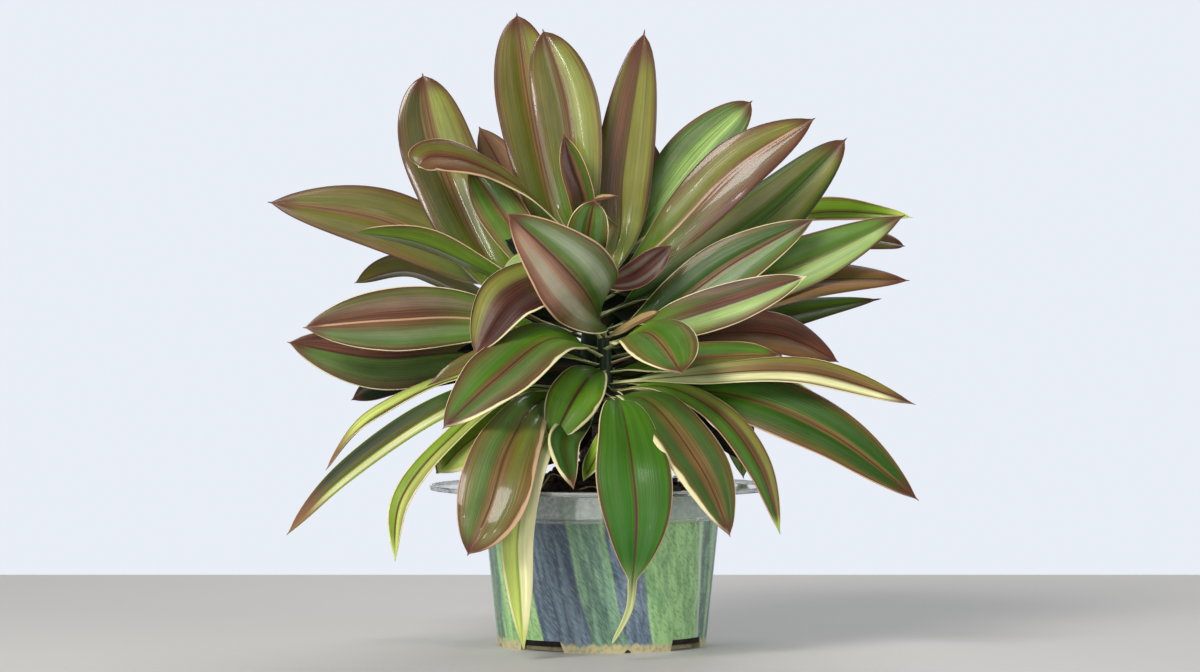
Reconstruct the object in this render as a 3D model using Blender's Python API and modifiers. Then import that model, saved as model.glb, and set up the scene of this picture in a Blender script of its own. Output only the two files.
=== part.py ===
"""Potted ti plant: two leafy canes in a tapering nursery pot with a clear collar round its rim.

The origin is the middle of the pot's foot, on the ground. +Z is up and -Y is the plant's front.
Lengths are in millimetres until they are turned to metres by MM.
"""

import math
from typing import NamedTuple

import bmesh
import bpy
from mathutils import Matrix, Vector

MM = 0.001
GAP = 0.3
MERGE = 0.00005
TURNS = 36

# Pot
RIM_RADIUS = 65.8
RIM_HEIGHT = 85.0
BAND_BOTTOM = 72.0
BAND_STEP = 1.2
FOOT_RADIUS = 57.2
WALL = 2.2
FLOOR_THICK = 2.2
EDGE_ROUND = 0.5
NOTCH_COUNT = 4
NOTCH_FIRST_ANGLE = -125.0
NOTCH_WIDTH = 31.0
NOTCH_HEIGHT = 6.0
NOTCH_REACH = 7.0
NOTCH_SLOPE = 3.6
NICK_RADIUS = 1.8
NICK_FIRST_ANGLE = -76.0
DRAIN_RADIUS = 5.0
DRAIN_CIRCLE = 34.0
DRAIN_COUNT = 4
CUT_OVER = 4.0
HOLE_SIDES = 16
NICK_SIDES = 10

# Clear collar
SLEEVE_WALL = 1.0
SLEEVE_BOTTOM = 69.5
BEAD = 1.3
FLANGE_RADIUS = 95.0
FLANGE_THICK = 1.4
FLANGE_INNER = 63.6
LIP_HEIGHT = 1.2
LIP_THICK = 1.2
LIP_ROUND = 0.4
FILLET = 1.0

# Potting mix
MIX_TOP = 100.0
MIX_EDGE = 82.0
MIX_STEPS = 5
MIX_TURNS = 24
HOLE_FOOT = 50.0

# Canes and the shoots on them
CANE_RADIUS = 6.5
CANE_RING = 0.7
CANE_RING_HALF = 1.4
CANE_RING_EVERY = 9.0
CANE_SIDES = 12
LOW_CANE_PLACE = (1.0, -8.0)
LOW_CANE_TOP = 121.0
LOW_SHOOT_TOP = 172.0
TALL_CANE_PLACE = (-6.0, 24.0)
TALL_CANE_TOP = 138.0
TALL_SHOOT_TOP = 222.0
SHOOT_FOOT_RADIUS = 7.0
SHOOT_TOP_RADIUS = 3.2
SHOOT_SIDES = 10

# Leaf blades
BLADE_THICK = 0.9
EDGE_THICK = 0.7
ROOT_SINK = 1.3
STALK_HALF_WIDTH = 2.5
STALK_SHARE = 0.16
TIP_HALF_WIDTH = 0.4
TWIST_FROM = 0.05
TWIST_TO = 0.4
NEARBY = 0.01
FULLNESS = 0.6
TAIL_HALF_WIDTH = 2.3
STALK_FOLD = 0.9
EDGE_DROOP = 0.16
LARGE_WIDTH = 38.0
SHORT_LENGTH = 70.0
STATIONS = 7
SHORT_STATIONS = 6
FOLDED_STATIONS = 8
LARGE_STATIONS = 9

# Which way a blade's upper side looks
FRONT = (0.0, -1.0, 0.3)
FRONT_LEFT = (-0.5, -0.9, 0.35)
FRONT_RIGHT = (0.4, -0.9, 0.4)
FRONT_SKY = (0.0, -0.7, 0.75)
SKY = (0.0, -0.3, 1.0)
LEFT_SKY = (-0.8, -0.4, 0.5)
LEFT_FRONT = (-0.5, -0.75, 0.6)
BACK = (0.0, 1.0, 0.3)
BACK_SKY = (0.0, 0.6, 0.8)

# How steeply a blade's halves fold up
FLAT = 0.28
FOLDED = 0.55
CLOSED = 1.1

# How far towards the tip a blade is widest
BROAD_FOOT = 0.9
BROAD_LOW = 1.0
BROAD_MIDDLE = 1.2
BROAD_END = 1.4
BROAD_TIP = 1.9

# How finely a blade's end is drawn out
ROUND = 0.45
BLUNT = 0.68
POINTED = 0.9
SHARP = 1.15


class Leaf(NamedTuple):
    """A leaf.

    It has its full width, where its upper side looks, its fold, the height of its root on the shoot's
    middle line, the points that its midrib then runs through to its tip, its widest place, how fine its
    end is, and the share of its length that is a narrow tail.
    """

    width: float
    facing: tuple
    fold: float
    root: float
    points: tuple
    widest: float = BROAD_MIDDLE
    fineness: float = POINTED
    tail: float = 0.0


TALL_LEAVES = (
    # Upright leaves in the crown
    Leaf(38, FRONT, FLAT, 192, ((-25, 38, 228), (-41, 46, 300), (-48, 48, 351)), BROAD_END, BLUNT),
    Leaf(38, FRONT, FLAT, 200, ((-13, 24, 236), (-20, 24, 296), (-33, 24, 340)), BROAD_END, BLUNT),
    Leaf(34, FRONT, FLAT, 176, ((9, 30, 222), (12, 36, 262), (24, 40, 341)), BROAD_END, BLUNT),
    Leaf(43, FRONT, FLAT, 174, ((-58, 36, 204), (-91, 42, 270), (-101, 46, 317)), BROAD_END, BLUNT),
    Leaf(28, BACK, FLAT, 188, ((-42, 58, 240), (-70, 68, 288))),
    Leaf(24, FRONT_LEFT, CLOSED, 208, ((-8, 12, 245), (-21, 8, 281))),
    Leaf(12, SKY, FLAT, 204, ((4, 6, 230), (-5, -2, 243), (10, -8, 246)), BROAD_MIDDLE, BLUNT),
    Leaf(26, FRONT, FOLDED, 206, ((-8, 0, 222), (-4, -10, 244)), BROAD_MIDDLE, BLUNT),
    Leaf(
        28,
        FRONT_SKY,
        FLAT,
        210,
        ((-42, 16, 248), (-70, 8, 264), (-93, 3, 268), (-101, 1, 262)),
        BROAD_TIP,
        ROUND,
    ),
    Leaf(27, FRONT, FLAT, 186, ((-34, 18, 208), (-56, 20, 238), (-74, 22, 264)), BROAD_END),
    # Right of the crown
    Leaf(28, BACK, FLAT, 192, ((16, 50, 240), (30, 60, 278))),
    Leaf(34, FRONT, FLAT, 194, ((26, 40, 236), (54, 50, 272), (85, 56, 302)), BROAD_MIDDLE, BLUNT),
    Leaf(33, FRONT, FLAT, 186, ((34, 4, 222), (74, -4, 262), (117, -6, 289))),
    Leaf(38, FRONT, FLAT, 176, ((43, 32, 203), (94, 32, 238), (137, 34, 280)), BROAD_LOW, BLUNT),
    Leaf(20, FRONT_SKY, FOLDED, 184, ((60, 52, 220), (120, 58, 238), (176, 58, 236)), BROAD_END, BLUNT),
    Leaf(20, FRONT_SKY, FLAT, 178, ((80, 64, 210), (140, 72, 224), (173, 74, 220)), BROAD_END, BLUNT),
    Leaf(32, FRONT, FLAT, 168, ((50, 16, 190), (112, 8, 210), (167, 4, 236)), BROAD_LOW),
    Leaf(30, FRONT_SKY, FLAT, 164, ((60, 22, 182), (115, 12, 199), (170, 8, 200))),
    Leaf(26, FRONT_SKY, FLAT, 154, ((55, 30, 168), (105, 30, 181), (156, 28, 190)), BROAD_LOW, SHARP),
    Leaf(18, FRONT, FOLDED, 196, ((18, -4, 202), (38, -10, 219))),
    # Left of the crown
    Leaf(38, FRONT, FLAT, 182, ((-66, 54, 208), (-126, 62, 235), (-190, 66, 245))),
    Leaf(22, BACK_SKY, FOLDED, 176, ((-62, 22, 204), (-101, 20, 221), (-138, 18, 227))),
    Leaf(28, BACK_SKY, FOLDED, 166, ((-70, 66, 190), (-110, 80, 206), (-142, 84, 199))),
    Leaf(39, FRONT, FLAT, 152, ((-70, 16, 160), (-124, 12, 157), (-174, 8, 166))),
    Leaf(26, FRONT_SKY, FLAT, 146, ((-70, 36, 150), (-115, 42, 144), (-141, 44, 133))),
    Leaf(13, FRONT_SKY, FOLDED, 150, ((-50, 10, 161), (-80, 4, 161))),
    Leaf(26, FRONT_LEFT, FLAT, 141, ((-48, 38, 128), (-78, 40, 106), (-93, 36, 92))),
    # Behind the crown
    Leaf(34, (0, -0.4, 1), FLAT, 200, ((4, 70, 244), (8, 104, 270), (10, 130, 280))),
    Leaf(36, (0, -0.4, 1), FLAT, 196, ((-30, 72, 238), (-50, 112, 262), (-62, 146, 268))),
    Leaf(34, (0, -0.2, 1), FLAT, 190, ((30, 72, 226), (58, 110, 246), (78, 142, 248))),
    Leaf(36, (0, 0.1, 1), FLAT, 182, ((-46, 80, 208), (-82, 122, 218), (-108, 150, 208))),
    Leaf(34, (0, 0.1, 1), FLAT, 184, ((0, 84, 218), (4, 132, 228), (8, 170, 216))),
    Leaf(34, (0.2, 0.2, 1), FLAT, 176, ((44, 72, 200), (86, 108, 208), (120, 134, 196))),
    Leaf(32, (-0.2, 0.4, 1), FLAT, 166, ((-56, 74, 180), (-98, 104, 176), (-130, 122, 158))),
    Leaf(34, (0, 0.6, 0.8), FLAT, 166, ((-22, 84, 190), (-34, 132, 180), (-42, 162, 144))),
    Leaf(34, (0.2, 0.6, 0.8), FLAT, 164, ((22, 84, 188), (44, 128, 178), (58, 158, 142))),
    Leaf(30, (0.5, 0.4, 0.8), FLAT, 158, ((52, 66, 172), (90, 90, 160), (112, 104, 130))),
    Leaf(32, (0, 0.9, 0.5), FLAT, 152, ((0, 78, 162), (2, 116, 136), (2, 132, 92))),
    Leaf(30, (-0.5, 0.8, 0.5), FLAT, 148, ((-42, 70, 152), (-70, 100, 126), (-80, 112, 86))),
    Leaf(30, (0.5, 0.8, 0.5), FLAT, 148, ((40, 64, 152), (72, 90, 126), (82, 104, 86))),
    # Short inner leaves that close the middle
    Leaf(26, FRONT, FLAT, 188, ((14, 44, 202), (42, 54, 210)), BROAD_FOOT),
    Leaf(24, FRONT, FLAT, 180, ((14, 46, 186), (42, 58, 190)), BROAD_FOOT),
    Leaf(26, FRONT, FLAT, 170, ((-30, 44, 174), (-58, 58, 176)), BROAD_FOOT),
    Leaf(24, FRONT, FLAT, 162, ((16, 42, 164), (44, 54, 164)), BROAD_FOOT),
    Leaf(26, FRONT, FLAT, 156, ((-30, 40, 156), (-56, 50, 152)), BROAD_FOOT),
    Leaf(26, FRONT, FLAT, 145, ((-30, 38, 138), (-54, 44, 122)), BROAD_FOOT),
    Leaf(26, FRONT, FLAT, 144, ((14, 42, 138), (36, 54, 120)), BROAD_FOOT),
    Leaf(28, FRONT, FLAT, 147, ((-10, 50, 138), (-14, 58, 106)), BROAD_FOOT),
    Leaf(30, FRONT, FLAT, 166, ((0, 48, 176), (2, 60, 204)), BROAD_FOOT),
    Leaf(28, FRONT, FLAT, 152, ((2, 50, 156), (6, 62, 182)), BROAD_FOOT),
)

LOW_LEAVES = (
    # Right, from the top down
    Leaf(33, FRONT, FLAT, 168, ((36, 2, 184), (72, 0, 209), (117, -4, 234)), BROAD_LOW),
    Leaf(25, FRONT, FLAT, 163, ((36, -12, 176), (76, -22, 189), (111, -28, 202)), BROAD_LOW),
    Leaf(32, FRONT_SKY, FLAT, 152, ((50, -4, 168), (95, -4, 170), (130, -6, 155))),
    Leaf(24, FRONT_SKY, FLAT, 148, ((50, -22, 157), (97, -26, 159))),
    Leaf(21, FRONT_SKY, FLAT, 142, ((50, -34, 148), (110, -46, 150), (168, -54, 133))),
    Leaf(20, FRONT, FLAT, 142, ((60, -8, 145), (120, -10, 136))),
    Leaf(37, FRONT_RIGHT, FLAT, 139, ((68, -32, 138), (121, -50, 118), (169, -62, 82)), BROAD_LOW),
    Leaf(18, FRONT_RIGHT, FLAT, 136, ((32, -34, 142), (62, -50, 128), (84, -58, 99), (95, -62, 64))),
    Leaf(36, FRONT_RIGHT, FLAT, 134, ((25, -52, 134), (52, -86, 100), (67, -100, 65)), BROAD_LOW),
    Leaf(40, FRONT_SKY, FLAT, 160, ((24, -48, 171), (42, -88, 150)), BROAD_END),
    Leaf(6, FRONT, FOLDED, 166, ((18, -20, 177), (31, -30, 183))),
    Leaf(7, FRONT, FOLDED, 131, ((40, -24, 132), (58, -34, 118), (73, -42, 104)), BROAD_END, BLUNT),
    Leaf(12, FRONT, FLAT, 143, ((42, -2, 147), (70, -6, 136)), BROAD_END, BLUNT),
    Leaf(6, FRONT, FOLDED, 127, ((26, -16, 118), (37, -24, 104), (42, -28, 92))),
    # Middle
    Leaf(
        41,
        FRONT,
        FLAT,
        132,
        ((9, -56, 134), (15, -92, 107), (18, -103, 76), (16, -104, 45), (14, -103, 27), (5, -100, 9)),
        BROAD_FOOT,
        POINTED,
        0.31,
    ),
    Leaf(48, FRONT, FLAT, 166, ((-6, -34, 188), (-22, -50, 208), (-51, -58, 236)), BROAD_FOOT),
    Leaf(14, FRONT, FLAT, 170, ((-30, -12, 208), (-53, -14, 222))),
    Leaf(18, FRONT_SKY, FOLDED, 164, ((-24, -14, 196), (-42, -22, 208), (-54, -26, 198))),
    Leaf(40, FRONT_LEFT, FLAT, 162, ((-24, -26, 196), (-50, -44, 189), (-68, -54, 159))),
    Leaf(44, FRONT_LEFT, FLAT, 156, ((-26, -44, 168), (-56, -74, 147), (-84, -90, 121)), BROAD_LOW),
    Leaf(
        39,
        FRONT,
        FLAT,
        134,
        ((-32, -34, 135), (-49, -88, 112), (-59, -110, 80), (-70, -112, 56)),
        BROAD_END,
    ),
    Leaf(29, FRONT, FLAT, 150, ((-6, -36, 148), (-17, -54, 133), (-28, -60, 110)), BROAD_MIDDLE, SHARP),
    Leaf(20, FRONT, FOLDED, 136, ((-12, -40, 124), (-20, -70, 112), (-15, -98, 90))),
    Leaf(14, FRONT_LEFT, FLAT, 130, ((4, -44, 121), (-2, -62, 107), (-10, -72, 93))),
    Leaf(8, SKY, FOLDED, 142, ((4, -26, 138), (13, -36, 135))),
    Leaf(
        17,
        FRONT,
        FLAT,
        129,
        ((-23, -46, 122), (-37, -92, 98), (-44, -100, 66), (-43, -97, 34), (-41, -94, 5)),
    ),
    # Left, from the top down
    Leaf(38, FRONT, FLAT, 160, ((-65, -10, 178), (-115, -16, 178), (-163, -20, 174))),
    Leaf(13, FRONT_SKY, FOLDED, 152, ((-50, -34, 162), (-94, -44, 143))),
    Leaf(16, LEFT_SKY, FOLDED, 142, ((-70, -8, 148), (-125, -12, 124), (-151, -14, 96))),
    Leaf(22, LEFT_FRONT, FOLDED, 138, ((-50, -26, 142), (-92, -38, 126), (-139, -48, 93), (-169, -54, 63))),
    Leaf(15, LEFT_FRONT, FLAT, 136, ((-48, -34, 138), (-84, -54, 112), (-107, -64, 82), (-110, -68, 50))),
    Leaf(28, FRONT, FLAT, 130, ((-44, -30, 128), (-70, -46, 114), (-88, -54, 96)), BROAD_END),
    # Short inner leaves that close the middle
    Leaf(22, FRONT, FLAT, 150, ((-22, -14, 152), (-44, -20, 148)), BROAD_FOOT),
    Leaf(22, FRONT, FLAT, 146, ((24, 0, 148), (46, 4, 144)), BROAD_FOOT),
    Leaf(28, FRONT, FLAT, 132, ((-19, -4, 122), (-36, -3, 98))),
    Leaf(22, FRONT, FLAT, 130, ((16, 6, 122), (28, 12, 106)), BROAD_FOOT),
    Leaf(20, FRONT, FLAT, 160, ((22, 4, 172), (38, 8, 180)), BROAD_FOOT),
    Leaf(22, FRONT, FLAT, 132, ((-11, 7, 126), (-17, 10, 102)), BROAD_FOOT),
    Leaf(20, FRONT, FLAT, 131, ((16, 4, 124), (19, 8, 103)), BROAD_FOOT),
)


def clear_scene():
    """Empties the scene."""
    for thing in list(bpy.data.objects):
        bpy.data.objects.remove(thing, do_unlink=True)


def new_collection(name):
    """A collection in the scene."""
    collection = bpy.data.collections.new(name)
    bpy.context.scene.collection.children.link(collection)
    return collection


def make_material(name, colour, roughness, transmission=0.0):
    """A plain Principled material."""
    material = bpy.data.materials.new(name)
    material.use_nodes = True
    shader = material.node_tree.nodes["Principled BSDF"]
    shader.inputs["Base Color"].default_value = (*colour, 1.0)
    shader.inputs["Roughness"].default_value = roughness
    shader.inputs["Metallic"].default_value = 0.0
    shader.inputs["Transmission Weight"].default_value = transmission
    return material


def add_object(name, mesh, collection, material=None):
    """An object for a mesh, in a collection."""
    thing = bpy.data.objects.new(name, mesh)
    collection.objects.link(thing)
    if material is not None:
        mesh.materials.append(material)
    return thing


def mesh_from(name, points, faces):
    """A mesh from points in millimetres."""
    mesh = bpy.data.meshes.new(name)
    mesh.from_pydata([tuple(value * MM for value in point) for point in points], [], faces)
    return mesh


def turned(name, profile, collection, material, place=(0.0, 0.0), turns=TURNS, closed=False):
    """A turned solid whose profile lists (radius, height) down its outer side. A ring's profile is closed."""
    edges = [(step, step + 1) for step in range(len(profile) - 1)]
    if closed:
        edges.append((len(profile) - 1, 0))
    mesh = bpy.data.meshes.new(name)
    mesh.from_pydata([(radius * MM, 0.0, height * MM) for radius, height in profile], edges, [])
    thing = add_object(name, mesh, collection, material)
    thing.location = (place[0] * MM, place[1] * MM, 0.0)
    screw = thing.modifiers.new("Turn", "SCREW")
    screw.axis = "Z"
    screw.steps = turns
    screw.render_steps = turns
    screw.use_merge_vertices = True
    screw.merge_threshold = MERGE
    screw.use_smooth_shade = True
    return thing


def cylinder_mesh(name, foot_radius, top_radius, length, sides):
    """A cylinder or cone round the Z axis, with its middle at the origin."""
    mesh = bpy.data.meshes.new(name)
    shape = bmesh.new()
    bmesh.ops.create_cone(
        shape,
        cap_ends=True,
        segments=sides,
        radius1=foot_radius * MM,
        radius2=top_radius * MM,
        depth=length * MM,
    )
    shape.to_mesh(mesh)
    shape.free()
    return mesh


def cutter_cylinder(name, collection, radius, low, high, place):
    """An upright cylinder that cuts a hole."""
    cutter = add_object(name, cylinder_mesh(name, radius, radius, high - low, HOLE_SIDES), collection)
    cutter.location = (place[0] * MM, place[1] * MM, (low + high) / 2 * MM)
    return cutter


def cutter_notch(name, collection, angle):
    """A block with sloping ends that cuts a drain notch where the wall meets the floor."""
    half = NOTCH_WIDTH / 2
    outline = (
        (-half, -CUT_OVER),
        (half, -CUT_OVER),
        (half - NOTCH_SLOPE, NOTCH_HEIGHT),
        (-half + NOTCH_SLOPE / 2, NOTCH_HEIGHT),
    )
    inner = [(FOOT_RADIUS - NOTCH_REACH, side, up) for side, up in outline]
    outer = [(FOOT_RADIUS + NOTCH_REACH, side, up) for side, up in outline]
    faces = [(0, 3, 2, 1), (4, 5, 6, 7), (0, 1, 5, 4), (1, 2, 6, 5), (2, 3, 7, 6), (3, 0, 4, 7)]
    cutter = add_object(name, mesh_from(name, inner + outer, faces), collection)
    cutter.rotation_euler = (0.0, 0.0, math.radians(angle))
    return cutter


def cutter_nick(name, collection, angle):
    """A small lying cylinder that cuts a round nick in the foot."""
    mesh = cylinder_mesh(name, NICK_RADIUS, NICK_RADIUS, NOTCH_REACH, NICK_SIDES)
    mesh.transform(Matrix.Rotation(math.pi / 2, 4, "Y"))
    cutter = add_object(name, mesh, collection)
    turn = math.radians(angle)
    reach = FOOT_RADIUS - WALL / 2
    cutter.location = (reach * math.cos(turn) * MM, reach * math.sin(turn) * MM, 0.0)
    cutter.rotation_euler = (0.0, 0.0, turn)
    return cutter


def cut_with(thing, collection):
    """Cuts a collection's solids out of an object."""
    cut = thing.modifiers.new("Cut", "BOOLEAN")
    cut.operation = "DIFFERENCE"
    cut.operand_type = "COLLECTION"
    cut.collection = collection
    cut.solver = "EXACT"


def wall_radius(height):
    """The outer radius of the pot's plain wall at a height."""
    share = height / BAND_BOTTOM
    return FOOT_RADIUS + (RIM_RADIUS - BAND_STEP - FOOT_RADIUS) * share


def make_pot(collection, cutters, material):
    """The nursery pot: a tapering wall with a rim band, and a flat floor with drain holes and notches."""
    inner_rim = RIM_RADIUS - WALL
    profile = (
        (0.0, FLOOR_THICK),
        (wall_radius(FLOOR_THICK) - WALL, FLOOR_THICK),
        (wall_radius(BAND_BOTTOM) - WALL, BAND_BOTTOM),
        (inner_rim, RIM_HEIGHT - EDGE_ROUND),
        (inner_rim + EDGE_ROUND, RIM_HEIGHT),
        (RIM_RADIUS - EDGE_ROUND, RIM_HEIGHT),
        (RIM_RADIUS, RIM_HEIGHT - EDGE_ROUND),
        (RIM_RADIUS, BAND_BOTTOM + EDGE_ROUND),
        (wall_radius(BAND_BOTTOM), BAND_BOTTOM - EDGE_ROUND),
        (FOOT_RADIUS, 0.0),
        (0.0, 0.0),
    )
    pot = turned("pot", profile, collection, material)
    for index in range(NOTCH_COUNT):
        turn = index * 360.0 / NOTCH_COUNT
        cutter_notch(f"notch_{index}", cutters, NOTCH_FIRST_ANGLE + turn)
        cutter_nick(f"nick_{index}", cutters, NICK_FIRST_ANGLE + turn)
    for index in range(DRAIN_COUNT):
        turn = math.radians(index * 360.0 / DRAIN_COUNT)
        place = (DRAIN_CIRCLE * math.cos(turn), DRAIN_CIRCLE * math.sin(turn))
        cutter_cylinder(f"drain_{index}", cutters, DRAIN_RADIUS, -CUT_OVER, FLOOR_THICK + CUT_OVER, place)
    cut_with(pot, cutters)
    return pot


def make_collar(collection, material):
    """The clear ring: a flange that rests on the pot's rim and a sleeve round the rim band."""
    inside = RIM_RADIUS + GAP
    outside = inside + SLEEVE_WALL
    under = RIM_HEIGHT + GAP
    top = under + FLANGE_THICK
    profile = (
        (FLANGE_INNER, under),
        (FLANGE_INNER, top),
        (FLANGE_RADIUS - LIP_THICK - LIP_ROUND, top),
        (FLANGE_RADIUS - LIP_THICK, top + LIP_HEIGHT),
        (FLANGE_RADIUS - LIP_ROUND, top + LIP_HEIGHT),
        (FLANGE_RADIUS, top + LIP_HEIGHT - LIP_ROUND),
        (FLANGE_RADIUS, under + LIP_ROUND),
        (FLANGE_RADIUS - LIP_ROUND, under),
        (outside + FILLET, under),
        (outside, under - FILLET),
        (outside, SLEEVE_BOTTOM + 2 * BEAD),
        (outside + BEAD, SLEEVE_BOTTOM + BEAD),
        (outside, SLEEVE_BOTTOM),
        (inside, SLEEVE_BOTTOM),
        (inside, under),
    )
    return turned("clear_collar", profile, collection, material, closed=True)


def make_mix(collection, cutters, material):
    """The potting mix, heaped a little, with a plain hole for each cane."""
    foot = FLOOR_THICK + GAP
    edge = wall_radius(BAND_BOTTOM) - WALL - 2 * GAP
    heap = MIX_TOP - MIX_EDGE
    profile = []
    for step in range(MIX_STEPS):
        share = step / MIX_STEPS
        profile.append((edge * share, MIX_EDGE + heap * math.cos(share * math.pi / 2)))
    profile.append((edge, MIX_EDGE))
    profile.append((edge, BAND_BOTTOM))
    profile.append((wall_radius(foot) - WALL - 2 * GAP, foot))
    profile.append((0.0, foot))
    mix = turned("potting_mix", profile, collection, material, turns=MIX_TURNS)
    for name, place in (("hole_low", LOW_CANE_PLACE), ("hole_tall", TALL_CANE_PLACE)):
        cutter_cylinder(name, cutters, CANE_RADIUS + CANE_RING + GAP, HOLE_FOOT, MIX_TOP + CUT_OVER, place)
    cut_with(mix, cutters)
    return mix


def make_cane(name, place, top, collection, material):
    """A woody cane with a ring at each old leaf scar."""
    foot = HOLE_FOOT + GAP
    profile = [(0.0, top), (CANE_RADIUS - CANE_RING, top), (CANE_RADIUS, top - CANE_RING)]
    height = top - CANE_RING_EVERY
    while height > MIX_TOP - CANE_RING_EVERY:
        profile.append((CANE_RADIUS, height + CANE_RING_HALF))
        profile.append((CANE_RADIUS + CANE_RING, height))
        profile.append((CANE_RADIUS, height - CANE_RING_HALF))
        height -= CANE_RING_EVERY
    profile.append((CANE_RADIUS, foot))
    profile.append((0.0, foot))
    return turned(name, profile, collection, material, place, CANE_SIDES)


def spline_point(points, at):
    """A point on the smooth curve through the given points, with at running from 0 to 1."""
    spans = len(points) - 1
    span = min(int(at * spans), spans - 1)
    share = at * spans - span
    before = points[max(span - 1, 0)]
    start = points[span]
    end = points[span + 1]
    after = points[min(span + 2, spans)]
    bend = 2 * before - 5 * start + 4 * end - after
    swing = 3 * start - before - 3 * end + after
    return 0.5 * (2 * start + (end - before) * share + bend * share**2 + swing * share**3)


def smooth_step(value):
    """0 below 0, 1 above 1 and an even curve between."""
    value = min(max(value, 0.0), 1.0)
    return value * value * (3.0 - 2.0 * value)


def half_width(at, leaf):
    """Half of the leaf's width: a narrow stalk, then a long oval that ends in a point or a narrow tail."""
    if at <= STALK_SHARE:
        return STALK_HALF_WIDTH
    share = min((at - STALK_SHARE) / (1.0 - STALK_SHARE - leaf.tail), 1.0)
    stalk = STALK_HALF_WIDTH * (1.0 - share)
    reach = share**leaf.widest
    oval = max(math.sin(math.pi * reach), 0.0) ** (FULLNESS if reach < 0.5 else leaf.fineness)
    end = TAIL_HALF_WIDTH if leaf.tail > 0.0 and at < 1.0 else TIP_HALF_WIDTH
    return max(stalk + (leaf.width / 2 - stalk) * oval, end)


def blade_frames(points, facing, stations):
    """For each station: its share of the length, its place, and the blade's side and upper directions."""
    points = [Vector(point) for point in points]
    away = points[-1] - points[0]
    away.z = 0.0
    away.normalize()
    root_up = Vector((0.0, 0.0, 1.0)) - away
    frames = []
    for step in range(stations + 1):
        at = step / stations
        place = spline_point(points, at)
        ahead = spline_point(points, min(at + NEARBY, 1.0))
        behind = spline_point(points, max(at - NEARBY, 0.0))
        along = (ahead - behind).normalized()
        up = (root_up - along * root_up.dot(along)).normalized()
        wanted = Vector(facing)
        wanted = (wanted - along * wanted.dot(along)).normalized()
        turn = math.atan2(up.cross(wanted).dot(along), up.dot(wanted))
        turn *= smooth_step((at - TWIST_FROM) / (TWIST_TO - TWIST_FROM))
        up = Matrix.Rotation(turn, 3, along) @ up
        frames.append((at, place, along.cross(up), up))
    return frames


def root_place(leaf, place):
    """Where a leaf's stalk starts: just past the shoot's middle line, so that it is sunk well in."""
    away = Vector((leaf.points[0][0] - place[0], leaf.points[0][1] - place[1])).normalized()
    return Vector(place) - away * ROOT_SINK


def station_count(leaf, points):
    """How many stretches a blade is made of: more for a large or folded leaf, fewer for a short one."""
    if leaf.width >= LARGE_WIDTH:
        return LARGE_STATIONS
    length = sum(math.dist(start, end) for start, end in zip(points, points[1:]))
    if length < SHORT_LENGTH:
        return SHORT_STATIONS
    return FOLDED_STATIONS if leaf.fold > FLAT else STATIONS


def leaf_solid(name, leaf, place):
    """One leaf of a shoot as a closed solid. Both faces are split into the same triangles."""
    points = ((*root_place(leaf, place), leaf.root), *leaf.points)
    fold = leaf.fold
    stations = station_count(leaf, points)
    across = (-1.0, -0.5, 0.0, 0.5, 1.0) if leaf.width >= LARGE_WIDTH else (-1.0, 0.0, 1.0)
    columns = len(across)
    uppers = []
    lowers = []
    for at, middle, side, up in blade_frames(points, leaf.facing, stations):
        half = half_width(at, leaf)
        steep = max(fold, STALK_FOLD + (fold - STALK_FOLD) * smooth_step(at / (STALK_SHARE * 2)))
        lean = 1.0 / math.sqrt(1.0 + steep * steep)
        for share in across:
            rise = half * lean * (steep * abs(share) - EDGE_DROOP * share * share)
            spot = middle + side * (half * lean * share) + up * rise
            thick = BLADE_THICK + (EDGE_THICK - BLADE_THICK) * abs(share)
            uppers.append(spot + up * (thick / 2))
            lowers.append(spot - up * (thick / 2))
    count = len(uppers)
    faces = []
    for step in range(stations):
        for column in range(columns - 1):
            near = step * columns + column
            far = near + columns
            faces.append((near, far + 1, near + 1))
            faces.append((near, far, far + 1))
            faces.append((count + near, count + near + 1, count + far + 1))
            faces.append((count + near, count + far + 1, count + far))
        left = step * columns
        right = left + columns - 1
        faces.append((left, count + left, count + left + columns, left + columns))
        faces.append((right, right + columns, count + right + columns, count + right))
    last = stations * columns
    for column in range(columns - 1):
        faces.append((column, column + 1, count + column + 1, count + column))
        faces.append((last + column, count + last + column, count + last + column + 1, last + column + 1))
    mesh = mesh_from(name, [tuple(point) for point in uppers + lowers], faces)
    shape = bmesh.new()
    shape.from_mesh(mesh)
    bmesh.ops.triangulate(shape, faces=[face for face in shape.faces if len(face.verts) > 3])
    bmesh.ops.recalc_face_normals(shape, faces=shape.faces)
    shape.to_mesh(mesh)
    shape.free()
    return mesh


def shoot_mesh(name, place, low, high):
    """The green shoot that carries a head's leaves."""
    mesh = cylinder_mesh(name, SHOOT_FOOT_RADIUS, SHOOT_TOP_RADIUS, high - low, SHOOT_SIDES)
    mesh.transform(Matrix.Translation((place[0] * MM, place[1] * MM, (low + high) / 2 * MM)))
    return mesh


def keep_main_body(mesh):
    """Drops sealed hollows and loose scraps that fusing leaves behind."""
    shape = bmesh.new()
    shape.from_mesh(mesh)
    left = set(shape.faces)
    bodies = []
    while left:
        body = []
        edge_of_body = [left.pop()]
        while edge_of_body:
            face = edge_of_body.pop()
            body.append(face)
            for edge in face.edges:
                if len(edge.link_faces) == 2:
                    for other in left.intersection(edge.link_faces):
                        left.remove(other)
                        edge_of_body.append(other)
        bodies.append(body)
    bodies.sort(key=len)
    for body in bodies[:-1]:
        bmesh.ops.delete(shape, geom=body, context="FACES")
    shape.to_mesh(mesh)
    shape.free()


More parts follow.
